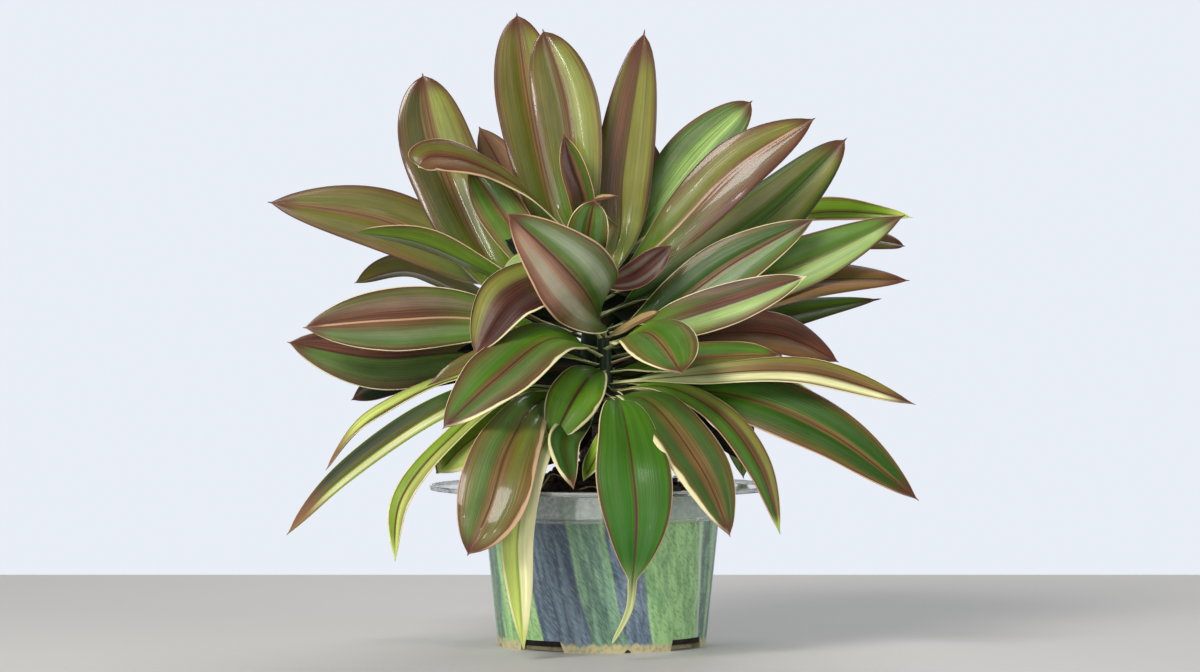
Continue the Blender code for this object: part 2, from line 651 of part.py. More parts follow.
def make_head(name, leaves, place, low, high, collection, material):
    """A leafy head: its shoot and leaves, fused into one body."""
    head = add_object(name, shoot_mesh(name, place, low, high), collection, material)
    blades = new_collection(f"{name}_blades")
    for index, leaf in enumerate(leaves):
        blade_name = f"{name}_blade_{index}"
        add_object(blade_name, leaf_solid(blade_name, leaf, place), blades)
    join = head.modifiers.new("Join", "BOOLEAN")
    join.operation = "UNION"
    join.operand_type = "COLLECTION"
    join.collection = blades
    join.solver = "EXACT"
    bpy.context.view_layer.update()
    evaluated = head.evaluated_get(bpy.context.evaluated_depsgraph_get())
    joined = bpy.data.meshes.new_from_object(evaluated)
    head.modifiers.clear()
    keep_main_body(joined)
    head.data = joined
    joined.materials.clear()
    joined.materials.append(material)
    for blade in list(blades.objects):
        bpy.data.objects.remove(blade, do_unlink=True)
    bpy.data.collections.remove(blades)
    return head


def hide_cutters(*collections):
    """Marks cutters so that they don't show."""
    for collection in collections:
        for cutter in collection.objects:
            cutter.hide_render = True
            cutter.display_type = "WIRE"


def main():
    """Builds the potted plant."""
    clear_scene()
    plant = new_collection("potted_ti_plant")
    pot_cutters = new_collection("pot_cutters")
    mix_cutters = new_collection("mix_cutters")
    pot_green = make_material("pot_plastic", (0.16, 0.29, 0.22), 0.45)
    clear = make_material("clear_plastic", (0.92, 0.95, 0.95), 0.08, 1.0)
    dark_mix = make_material("potting_mix", (0.025, 0.018, 0.014), 0.95)
    bark = make_material("bark", (0.16, 0.11, 0.07), 0.8)
    foliage = make_material("foliage", (0.14, 0.24, 0.05), 0.35)
    foliage_low = make_material("foliage_low", (0.08, 0.22, 0.05), 0.35)
    make_pot(plant, pot_cutters, pot_green)
    make_collar(plant, clear)
    make_mix(plant, mix_cutters, dark_mix)
    make_cane("cane_low", LOW_CANE_PLACE, LOW_CANE_TOP, plant, bark)
    make_cane("cane_tall", TALL_CANE_PLACE, TALL_CANE_TOP, plant, bark.copy())
    low = LOW_CANE_TOP + GAP
    make_head("leaves_low", LOW_LEAVES, LOW_CANE_PLACE, low, LOW_SHOOT_TOP, plant, foliage_low)
    low = TALL_CANE_TOP + GAP
    make_head("leaves_tall", TALL_LEAVES, TALL_CANE_PLACE, low, TALL_SHOOT_TOP, plant, foliage)
    hide_cutters(pot_cutters, mix_cutters)


main()
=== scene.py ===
"""Looks for the potted ti plant: fine leaf blades, loose potting mix and materials on top of the CAD frame.

The leaf table repeats the source's leaf table, with each leaf's colouring added. Lengths are in millimetres
until they are turned to metres by MM, and those of the camera, the lights, the table and the materials are in
metres. +Z is up and -Y is the plant's front.
"""

import math
import random
from typing import NamedTuple

import bmesh
import bpy
from mathutils import Matrix, Vector, noise


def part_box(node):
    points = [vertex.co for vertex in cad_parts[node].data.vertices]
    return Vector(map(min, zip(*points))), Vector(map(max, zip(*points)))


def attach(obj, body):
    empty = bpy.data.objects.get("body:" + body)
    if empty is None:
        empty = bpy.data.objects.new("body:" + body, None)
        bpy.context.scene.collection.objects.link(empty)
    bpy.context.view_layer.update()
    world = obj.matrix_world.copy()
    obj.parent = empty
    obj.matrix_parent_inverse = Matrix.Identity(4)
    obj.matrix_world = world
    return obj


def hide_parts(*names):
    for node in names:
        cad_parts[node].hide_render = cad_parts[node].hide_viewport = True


MM = 0.001
UP = Vector((0.0, 0.0, 1.0))

# Camera, in metres
CAMERA_PLACE = (-0.0011, -2.0, 0.184)
CAMERA_TARGET = (-0.0011, 0.0, 0.1694)
CAMERA_LENS = 109.1
SENSOR_WIDTH = 36.0

# Surroundings: how high the bright horizon reaches, and how much dimmer it is overhead and in front
HORIZON_TOP = 0.10
SKY_FROM = 0.42
HORIZON_LIGHT = 0.93
SKY_LIGHT = 0.22
FRONT_FROM = -0.5
BACK_FROM = 0.6
FRONT_SHARE = 0.6
SKY_COLOUR = (0.875, 0.92, 1.0)

# Colours of the lights
WHITE = (1.0, 1.0, 1.0)
WARM = (1.0, 0.96, 0.9)
SLIGHTLY_WARM = (1.0, 0.97, 0.93)

# Table, in metres
TABLE_SIZE = (3.2, 1.45, 0.04)
TABLE_MIDDLE = (0.0, -0.2, -0.02)
TABLE_BEVEL = 0.004
TABLE_COLOUR = (0.52, 0.51, 0.50)
TABLE_SHADE = 0.97

# Canes and shoots, as in the source
LOW_CANE_PLACE = (1.0, -8.0)
TALL_CANE_PLACE = (-6.0, 24.0)
LOW_SHOOT = (121.3, 172.0)
TALL_SHOOT = (138.3, 222.0)
SHOOT_FOOT_RADIUS = 7.0
SHOOT_TOP_RADIUS = 3.2
SHOOT_SIDES = 18
SHOOT_LEVELS = 22
SHOOT_RINGS = 7
SHOOT_SWELL = 0.25

# Marbling of the pot: the direction of each upright zone and half of its width in millimetres
SLATE_ZONES = ((-116.0, 13.0), (-77.0, 7.0), (-8.0, 5.0), (28.0, 9.0), (84.0, 15.0), (150.0, 8.0))
MURKY_ZONES = ((-94.0, 9.0), (-25.0, 5.0), (62.0, 12.0), (120.0, 9.0), (196.0, 6.0))
SEAM_ZONES = ((-31.0, 1.05),)

# How far the marbling slants and lies aside, how far its edges wander, and the steeper slant of its scratches
MARBLE_SLANT = 0.21
MARBLE_SHIFT = 0.0095
MARBLE_WANDER = 0.014
SCRATCH_SLANT = 0.8

# Heights of the pot's rim band and beige foot, in metres
RIM_BAND = (0.0712, 0.0722)
BEIGE_FOOT = (0.0056, 0.0032)
BEIGE_WANDER = 0.008

# Darker and lighter tone of each marbled colour
GREEN_TONES = ((0.22, 0.42, 0.17), (0.38, 0.64, 0.26))
MOSSY_TONES = ((0.09, 0.18, 0.135), (0.22, 0.39, 0.25))
SLATE_TONES = ((0.074, 0.108, 0.17), (0.20, 0.28, 0.35))
BEIGE_TONES = ((0.56, 0.50, 0.27), (0.38, 0.34, 0.2))
SCRATCH_SHADE = (0.6, 0.62, 0.66)
SCRATCH_LIGHT = (0.44, 0.58, 0.52)
SEAM_COLOUR = (0.62, 0.70, 0.62)
RIM_COLOUR = (0.80, 0.93, 0.86)

# Tones of the other materials
CLEAR_TONES = ((0.90, 0.94, 0.93), (0.97, 0.98, 0.98))
MIX_TONES = ((0.008, 0.003, 0.005), (0.034, 0.015, 0.013))
MIX_BITS = (0.07, 0.04, 0.025)
STRAW_TONES = ((0.30, 0.20, 0.10), (0.62, 0.48, 0.28))
BARK_TONES = ((0.05, 0.028, 0.02), (0.20, 0.13, 0.085))
BARK_PATCH = (0.05, 0.012, 0.015)

# Potting mix
MIX_INSET = 0.3
MIX_RINGS = 40
MIX_SIDES = 132
MIX_WALL = ((70.0, 1.0), (40.0, 0.965))
MIX_FOOT_LIFT = 0.5
MIX_FOOT_SHARE = 0.925
MOUND_FALL = 18.0
MOUND_SINK = 1.6
MOUND_BUMPS = ((0.11, 1.6), (0.31, 1.2), (0.8, 0.6))
EDGE_CALM = 0.5
EDGE_CALM_POWER = 6
CRUMBS = 340
CRUMB_SEED = 11
CRUMB_REACH = 0.96
CRUMB_SIZES = (0.7, 2.4)
CRUMB_TILT = 0.6
CRUMB_LENGTH = 1.3
CRUMB_SINK = 0.3
CRUMB_NOISE = 900.0
CRUMB_ROUGHNESS = 0.45
BARK_EVERY = 3
BARK_FLATNESS = 0.4

# Bits of straw: a bent one at the front, and short ones round the mound
STRAW_RADIUS = 0.85
STRAW_FLATNESS = 0.5
STRAW_END = 0.06
STRAW_THINNEST = 0.35
STRAW_TAPER = 0.4
STRAW_SIDES = 6
STRAW_STEPS = 10
STRAW_REACH = 0.02
STRAWS = (
    ((-33, -49, 87.5), (-30, -48, 92), (-27, -47, 95.5), (-21, -46, 94)),
    ((44, -35, 88), (48, -33, 90), (52, -30, 88)),
    ((-12, -52, 87.5), (-6, -50, 89), (1, -50, 87.5)),
    ((20, -48, 88.5), (26, -44, 91), (31, -40, 90)),
    ((-48, -14, 90), (-44, -8, 93), (-42, 0, 93)),
    ((30, 36, 93), (22, 42, 92), (12, 46, 90)),
    ((-30, 38, 92), (-22, 44, 91), (-14, 50, 88)),
    ((50, 12, 90), (46, 20, 91), (40, 28, 91)),
)

# Leaf blades
STATIONS = 44
BLADE_REACH = 0.01
BLADE_THICK = 0.8
EDGE_THICK = 0.55
THIN_UNDER = 1.5
RIM_ROUND = 0.22
ROOT_SINK = 1.3
STALK_HALF_WIDTH = 2.5
STALK_SHARE = 0.16
TWIST_FROM = 0.05
TWIST_TO = 0.4
FULLNESS = 0.6
TAIL_HALF_WIDTH = 2.3
STALK_FOLD = 0.9
EDGE_DROOP = 0.16
BLADE_ARCH = 0.05
CREASE_ROUND = 0.05
SPIKE_SHARE = 0.025
SPIKE_HALF_WIDTH = 0.6
TIP_HALF_WIDTH = 0.12
ACROSS = (-1.0, -0.95, -0.86, -0.72, -0.54, -0.36, -0.18, 0.0, 0.18, 0.36, 0.54, 0.72, 0.86, 0.95, 1.0)

# Waves of a blade's edges: how many, over which end shares they fade, and the right edge's lag
FEWEST_WAVES = 1.6
MORE_WAVES = 1.5
WAVE_FADE_IN = 0.25
WAVE_FADE_OUT = 0.2
WAVE_LAG = 0.37

# Seeds of the leaves' uneven marks and waves
TALL_SEED = 5
LOW_SEED = 9

# Which way a blade's upper side looks
FRONT = (0.0, -1.0, 0.3)
FRONT_LEFT = (-0.5, -0.9, 0.35)
FRONT_RIGHT = (0.4, -0.9, 0.4)
FRONT_SKY = (0.0, -0.7, 0.75)
SKY = (0.0, -0.3, 1.0)
LEFT_SKY = (-0.8, -0.4, 0.5)
LEFT_FRONT = (-0.5, -0.75, 0.6)
BACK = (0.0, 1.0, 0.3)
BACK_SKY = (0.0, 0.6, 0.8)

# How steeply a blade's halves fold up
FLAT = 0.28
FOLDED = 0.55
CLOSED = 1.1

# How far towards the tip a blade is widest
BROAD_FOOT = 0.9
BROAD_LOW = 1.0
BROAD_MIDDLE = 1.2
BROAD_END = 1.4
BROAD_TIP = 1.9

# How finely a blade's end is drawn out
ROUND = 0.45
BLUNT = 0.68
POINTED = 0.9
SHARP = 1.15

# Leaf colours
OLIVE = (0.118, 0.114, 0.014)
DARK_OLIVE = (0.065, 0.062, 0.012)
LIGHT_OLIVE = (0.20, 0.20, 0.03)
# A lighter olive for the right halves of two upright leaves: their olive with a painted broad highlight.
OLIVE_AND_PAINTED_HIGHLIGHT = (0.225, 0.25, 0.045)
GREEN = (0.055, 0.150, 0.008)
CLEAR_GREEN = (0.022, 0.125, 0.006)
MIDDLE_GREEN = (0.085, 0.19, 0.014)
BRIGHT_GREEN = (0.10, 0.24, 0.010)
DEEP_GREEN = (0.024, 0.080, 0.006)
SAGE = (0.085, 0.15, 0.035)
# Also the near-black of the painted shade on the dark and inner leaves.
DARK_GREEN = (0.007, 0.022, 0.005)
LIME = (0.19, 0.35, 0.013)
YELLOW_GREEN = (0.48, 0.58, 0.13)
PALE_GREEN = (0.28, 0.41, 0.12)
CREAM = (0.80, 0.74, 0.42)
CREAM_GREEN = (0.60, 0.66, 0.30)
PALE_YELLOW = (0.82, 0.82, 0.44)
BLUSH = (0.60, 0.38, 0.23)
RUST = (0.11, 0.042, 0.025)
ORANGE_BROWN = (0.22, 0.09, 0.04)
WARM_BROWN = (0.15, 0.078, 0.030)
RED_BROWN = (0.105, 0.036, 0.021)
MAROON = (0.050, 0.013, 0.010)
PINK_BROWN = (0.30, 0.155, 0.095)
STRAW = (0.50, 0.36, 0.17)
# Near-black of painted shadow, on the black stubs.
SHADE_BLACK_GREEN = (0.002, 0.005, 0.003)

# What the leaf material multiplies its colours by, with a painted edge shade, and its painted reflection's
# tone
SOFT_LIGHT = (1.5, 1.45, 1.5)
BROWN_LIGHT = (1.5, 1.6, 1.6)
UNDER_SHADE = (0.6, 0.7, 0.5)
BLOTCH_SHADE = (0.58, 0.62, 0.55)
EDGE_SHADE = (0.5, 0.42, 0.5)
VEIN_LIGHT = (1.4, 1.35, 1.3)
PAINTED_SHEEN_TONE = (0.40, 0.43, 0.32)


class Look(NamedTuple):
    """A leaf's colouring.

    First come the colours of the two halves of its upper side, its foot, its underside, its brown parts,
    its midrib line, its rims and its tip. Then come how strong the brown is, and the shares of a half's width
    that the brown midrib band and margin take. The rims' widths are in millimetres. Then come how far the
    band leans to the right, how strong the lengthwise stripes are, how strong the pale reflection painted
    along each half is, how glossy the leaf is, and from where its tip takes its own colour.
    """

    left: tuple
    right: tuple
    foot: tuple = BRIGHT_GREEN
    under: tuple = PALE_GREEN
    brown_tone: tuple = RED_BROWN
    rib: tuple = MAROON
    rim: tuple = RUST
    tip: tuple = RED_BROWN
    brown: float = 0.85
    band: float = 0.15
    margin: float = 0.16
    rim_left: float = 0.3
    rim_right: float = 0.3
    lean: float = 0.0
    stripes: float = 0.5
    sheen: float = 0.15
    gloss: float = 0.4
    tip_from: float = 0.86

    def but(self, **changes):
        """The same look with some changes."""
        return self._replace(**changes)


STRIPED = Look(OLIVE, OLIVE, GREEN, brown_tone=WARM_BROWN, rib=RED_BROWN, margin=0.2, stripes=0.8, gloss=0.75)
RIBBED = Look(
    OLIVE, LIGHT_OLIVE, LIME, rib=RED_BROWN, band=0.36, margin=0.14, lean=-0.35, stripes=0.45, gloss=1.0
)
LEAFY = Look(GREEN, GREEN, brown_tone=WARM_BROWN, band=0.14, margin=0.2, stripes=0.35)
SHINY = LEAFY.but(rim=CREAM, sheen=0.6, gloss=0.6)
FLASHED = Look(
    SAGE, SAGE, MIDDLE_GREEN, brown_tone=PALE_GREEN, rib=PALE_GREEN, rim=WARM_BROWN, brown=0.75, band=0.3,
    margin=0.0, rim_left=1.2, rim_right=1.2, stripes=0.4, sheen=0.6
)
# A brown and sage leaf under a strong pale reflection painted into its colour.
BROWN_SAGE_PAINTED_SHEEN = Look(
    PINK_BROWN, SAGE, DEEP_GREEN, rim=BLUSH, rim_left=0.6, rim_right=0.6, brown=0.6, band=0.12, margin=0.26,
    stripes=0.6, sheen=1.7, gloss=0.5
)
DEEP = Look(DEEP_GREEN, DEEP_GREEN, GREEN, rim=BLUSH, band=0.06, margin=0.13, stripes=0.15)
BROWN = Look(WARM_BROWN, RED_BROWN, under=PINK_BROWN, band=0.35, margin=0.3, stripes=0.8)
BRONZE = Look(
    LIGHT_OLIVE, WARM_BROWN, GREEN, rib=BLUSH, band=0.12, margin=0.32, stripes=0.6, sheen=0.4, gloss=0.85
)
PALE = Look(MIDDLE_GREEN, PALE_GREEN, rib=GREEN, brown=0.6, band=0.1, margin=0.1, stripes=0.1, sheen=0.5)
LIMY = Look(
    LIME, LIME, LIME, YELLOW_GREEN, rim=CREAM, tip=YELLOW_GREEN, brown=0.3, rim_left=0.7, rim_right=0.7
)
# Leaves deep in the foliage, near-black as painted shade.
DARK_PAINTED_SHADE = Look(*(DARK_GREEN,) * 4, brown=0.2, rim_left=0.1, rim_right=0.1, sheen=0.0)
# The inner leaves and the shoot are near-black as painted shade in the middle of the crown.
INNER_PAINTED_SHADE = Look(*(DARK_GREEN,) * 4, brown=0.5, rim_left=0.0, rim_right=0.0, sheen=0.0)
# Near-black stubs that stand for the deepest shade: painted shadow.
BLACK_PAINTED_SHADE = Look(
    *(SHADE_BLACK_GREEN,) * 8, brown=0.0, rim_left=0.0, rim_right=0.0, stripes=0.0, sheen=0.0, gloss=0.1
)
DRY = Look(STRAW, WARM_BROWN, STRAW, STRAW, rib=STRAW, brown=0.5)
PURPLE = Look(MAROON, MAROON, MAROON, MAROON, rim=PINK_BROWN, brown=0.3, sheen=0.5)
HOOKED = Look(
    WARM_BROWN, OLIVE, OLIVE, rim=BLUSH, tip=CREAM, tip_from=0.95, band=0.22, margin=0.25, rim_left=0.8,
    stripes=0.7, gloss=0.6
)
SPLIT = Look(RED_BROWN, PALE_GREEN, rim=CREAM, brown=0.95, band=0.22, lean=-0.3, stripes=0.4)
SPLIT_BACK = SPLIT.but(left=PALE_GREEN, right=RED_BROWN, lean=0.3)
RIBBON = SPLIT_BACK.but(
    left=PALE_YELLOW, right=DARK_GREEN, brown_tone=DARK_OLIVE, rib=LIME, rim=LIME, rim_left=1.2,
    gloss=0.0, tip=ORANGE_BROWN, tip_from=0.76
)


class Leaf(NamedTuple):
    """A leaf.

    It has its full width, where its upper side looks, its fold, the height of its root on the shoot's middle
    line, the points that its midrib runs through to its tip, its colouring, its widest place, how fine its
    end is, the share of its length that is a narrow tail, and how far its edges wave.
    """

    width: float
    facing: tuple
    fold: float
    root: float
    points: tuple
    look: Look
    widest: float = BROAD_MIDDLE
    fineness: float = POINTED
    tail: float = 0.0
    wave: float = 0.5


def inner(width, root, *points, widest=BROAD_FOOT):
    """A short leaf, near-black as painted shade, that closes the middle."""
    return Leaf(width, FRONT, FLAT, root, points, INNER_PAINTED_SHADE, widest)


TALL_LEAVES = (
    # Upright leaves in the crown
    Leaf(38, FRONT, FLAT, 192, ((-25, 38, 228), (-41, 46, 300), (-48, 48, 351)),
         STRIPED.but(right=LIGHT_OLIVE), BROAD_END, BLUNT),
    # Its right half is lighter with a painted broad highlight.
    Leaf(38, FRONT, FLAT, 200, ((-13, 24, 236), (-20, 24, 296), (-33, 24, 340)),
         STRIPED.but(right=OLIVE_AND_PAINTED_HIGHLIGHT, foot=BRIGHT_GREEN, gloss=1.0), BROAD_END, BLUNT),
    Leaf(34, FRONT, FLAT, 176, ((9, 30, 222), (12, 36, 262), (24, 40, 341)),
         RIBBED.but(foot=YELLOW_GREEN, lean=-0.7, band=0.3), BROAD_END, BLUNT),
    # Its right half is lighter with a painted broad highlight.
    Leaf(43, FRONT, FLAT, 174, ((-58, 36, 204), (-91, 42, 270), (-101, 46, 317)),
         STRIPED.but(left=DARK_OLIVE, right=OLIVE_AND_PAINTED_HIGHLIGHT, foot=LIME, gloss=1.0), BROAD_END, BLUNT),
    Leaf(28, BACK, FLAT, 188, ((-42, 58, 240), (-70, 68, 288)), BROWN),
    Leaf(24, FRONT_LEFT, CLOSED, 208, ((-8, 12, 245), (-21, 8, 281)),
         STRIPED.but(left=MAROON, right=GREEN, rim=BLUSH)),
    Leaf(12, SKY, FLAT, 204, ((4, 6, 230), (-5, -2, 243), (10, -8, 246)), DRY, BROAD_MIDDLE, BLUNT),
    Leaf(26, FRONT, FOLDED, 206, ((-8, 0, 222), (-4, -10, 244)), SHINY, BROAD_MIDDLE, BLUNT),
    Leaf(28, FRONT_SKY, FLAT, 210, ((-42, 16, 248), (-70, 8, 264), (-93, 3, 268), (-101, 1, 262)), HOOKED,
         BROAD_TIP, ROUND),
    Leaf(27, FRONT, FLAT, 186, ((-34, 18, 208), (-56, 20, 238), (-74, 22, 264)),
         STRIPED.but(left=MIDDLE_GREEN, right=MIDDLE_GREEN, rim=BLUSH, margin=0.3), BROAD_END),
    # Right of the crown
    Leaf(28, BACK, FLAT, 192, ((16, 50, 240), (30, 60, 278)), BROWN),
    Leaf(34, FRONT, FLAT, 194, ((26, 40, 236), (54, 50, 272), (85, 56, 302)), FLASHED, BROAD_MIDDLE, BLUNT),
    Leaf(33, FRONT, FLAT, 186, ((34, 4, 222), (74, -4, 262), (117, -6, 289)), BRONZE),
    # Its deep green foot is painted shade, from the leaf over it.
    Leaf(38, FRONT, FLAT, 176, ((43, 32, 203), (94, 32, 238), (137, 34, 280)),
         LEAFY.but(
             left=OLIVE, right=LIGHT_OLIVE, foot=DEEP_GREEN, brown_tone=DEEP_GREEN, band=0.25, sheen=0.6),
         BROAD_LOW, BLUNT),
    Leaf(20, FRONT_SKY, FOLDED, 184, ((60, 52, 220), (120, 58, 238), (176, 58, 236)),
         LIMY.but(margin=0.25, brown=0.8, brown_tone=WARM_BROWN, rim=BLUSH), BROAD_END, BLUNT, wave=1.3),
    Leaf(20, FRONT_SKY, FLAT, 178, ((80, 64, 210), (140, 72, 224), (173, 74, 220)),
         STRIPED.but(left=WARM_BROWN), BROAD_END, BLUNT),
    Leaf(32, FRONT, FLAT, 168, ((50, 16, 190), (112, 8, 210), (167, 4, 236)), PALE, BROAD_LOW),
    Leaf(30, FRONT_SKY, FLAT, 164, ((60, 22, 182), (115, 12, 199), (170, 8, 200)),
         BROWN.but(left=ORANGE_BROWN, right=ORANGE_BROWN, brown_tone=DARK_OLIVE, brown=0.7)),
    Leaf(26, FRONT_SKY, FLAT, 154, ((55, 30, 168), (105, 30, 181), (156, 28, 190)),
         PALE.but(right=SAGE), BROAD_LOW, SHARP),
    Leaf(18, FRONT, FOLDED, 196, ((18, -4, 202), (38, -10, 219)), PURPLE),
    # Left of the crown
    Leaf(38, FRONT, FLAT, 182, ((-66, 54, 208), (-126, 62, 235), (-190, 66, 245)), STRIPED.but(gloss=0.5)),
    Leaf(22, BACK_SKY, FOLDED, 176, ((-62, 22, 204), (-101, 20, 221), (-138, 18, 227)),
         STRIPED.but(under=BRIGHT_GREEN, rib=GREEN, rim=BLUSH, margin=0.7)),
    Leaf(28, BACK_SKY, FOLDED, 166, ((-70, 66, 190), (-110, 80, 206), (-142, 84, 199)),
         STRIPED.but(under=OLIVE, margin=0.3)),
    Leaf(39, FRONT, FLAT, 152, ((-70, 16, 160), (-124, 12, 157), (-174, 8, 166)),
         SPLIT_BACK.but(left=SAGE, right=MAROON, foot=MIDDLE_GREEN, brown=0.8, margin=0.25, lean=0.5)),
    Leaf(26, FRONT_SKY, FLAT, 146, ((-70, 36, 150), (-115, 42, 144), (-141, 44, 133)), DARK_PAINTED_SHADE),
    Leaf(13, FRONT_SKY, FOLDED, 150, ((-50, 10, 161), (-80, 4, 161)), BLACK_PAINTED_SHADE),
    Leaf(26, FRONT_LEFT, FLAT, 141, ((-48, 38, 128), (-78, 40, 106), (-93, 36, 92)), DARK_PAINTED_SHADE),
    # Behind the crown
    Leaf(34, (0, -0.4, 1), FLAT, 200, ((4, 70, 244), (8, 104, 270), (10, 130, 280)), STRIPED),
    Leaf(36, (0, -0.4, 1), FLAT, 196, ((-30, 72, 238), (-50, 112, 262), (-62, 146, 268)), LEAFY),
    Leaf(34, (0, -0.2, 1), FLAT, 190, ((30, 72, 226), (58, 110, 246), (78, 142, 248)), STRIPED),
    Leaf(36, (0, 0.1, 1), FLAT, 182, ((-46, 80, 208), (-82, 122, 218), (-108, 150, 208)), BROWN),
    Leaf(34, (0, 0.1, 1), FLAT, 184, ((0, 84, 218), (4, 132, 228), (8, 170, 216)), LEAFY),
    Leaf(34, (0.2, 0.2, 1), FLAT, 176, ((44, 72, 200), (86, 108, 208), (120, 134, 196)), RIBBED),
    Leaf(32, (-0.2, 0.4, 1), FLAT, 166, ((-56, 74, 180), (-98, 104, 176), (-130, 122, 158)), LEAFY),
    Leaf(34, (0, 0.6, 0.8), FLAT, 166, ((-22, 84, 190), (-34, 132, 180), (-42, 162, 144)), STRIPED),
    Leaf(34, (0.2, 0.6, 0.8), FLAT, 164, ((22, 84, 188), (44, 128, 178), (58, 158, 142)), DEEP),
    Leaf(30, (0.5, 0.4, 0.8), FLAT, 158, ((52, 66, 172), (90, 90, 160), (112, 104, 130)), LEAFY),
    Leaf(32, (0, 0.9, 0.5), FLAT, 152, ((0, 78, 162), (2, 116, 136), (2, 132, 92)), DEEP),
    Leaf(30, (-0.5, 0.8, 0.5), FLAT, 148, ((-42, 70, 152), (-70, 100, 126), (-80, 112, 86)), DEEP),
    Leaf(30, (0.5, 0.8, 0.5), FLAT, 148, ((40, 64, 152), (72, 90, 126), (82, 104, 86)), LEAFY),
    # Short inner leaves that close the middle, near-black as painted shade
    inner(26, 188, (14, 44, 202), (42, 54, 210)),
    inner(24, 180, (14, 46, 186), (42, 58, 190)),
    inner(26, 170, (-30, 44, 174), (-58, 58, 176)),
    inner(24, 162, (16, 42, 164), (44, 54, 164)),
    inner(26, 156, (-30, 40, 156), (-56, 50, 152)),
    inner(26, 145, (-30, 38, 138), (-54, 44, 122)),
    inner(26, 144, (14, 42, 138), (36, 54, 120)),
    inner(28, 147, (-10, 50, 138), (-14, 58, 106)),
    inner(30, 166, (0, 48, 176), (2, 60, 204)),
    inner(28, 152, (2, 50, 156), (6, 62, 182)),
)

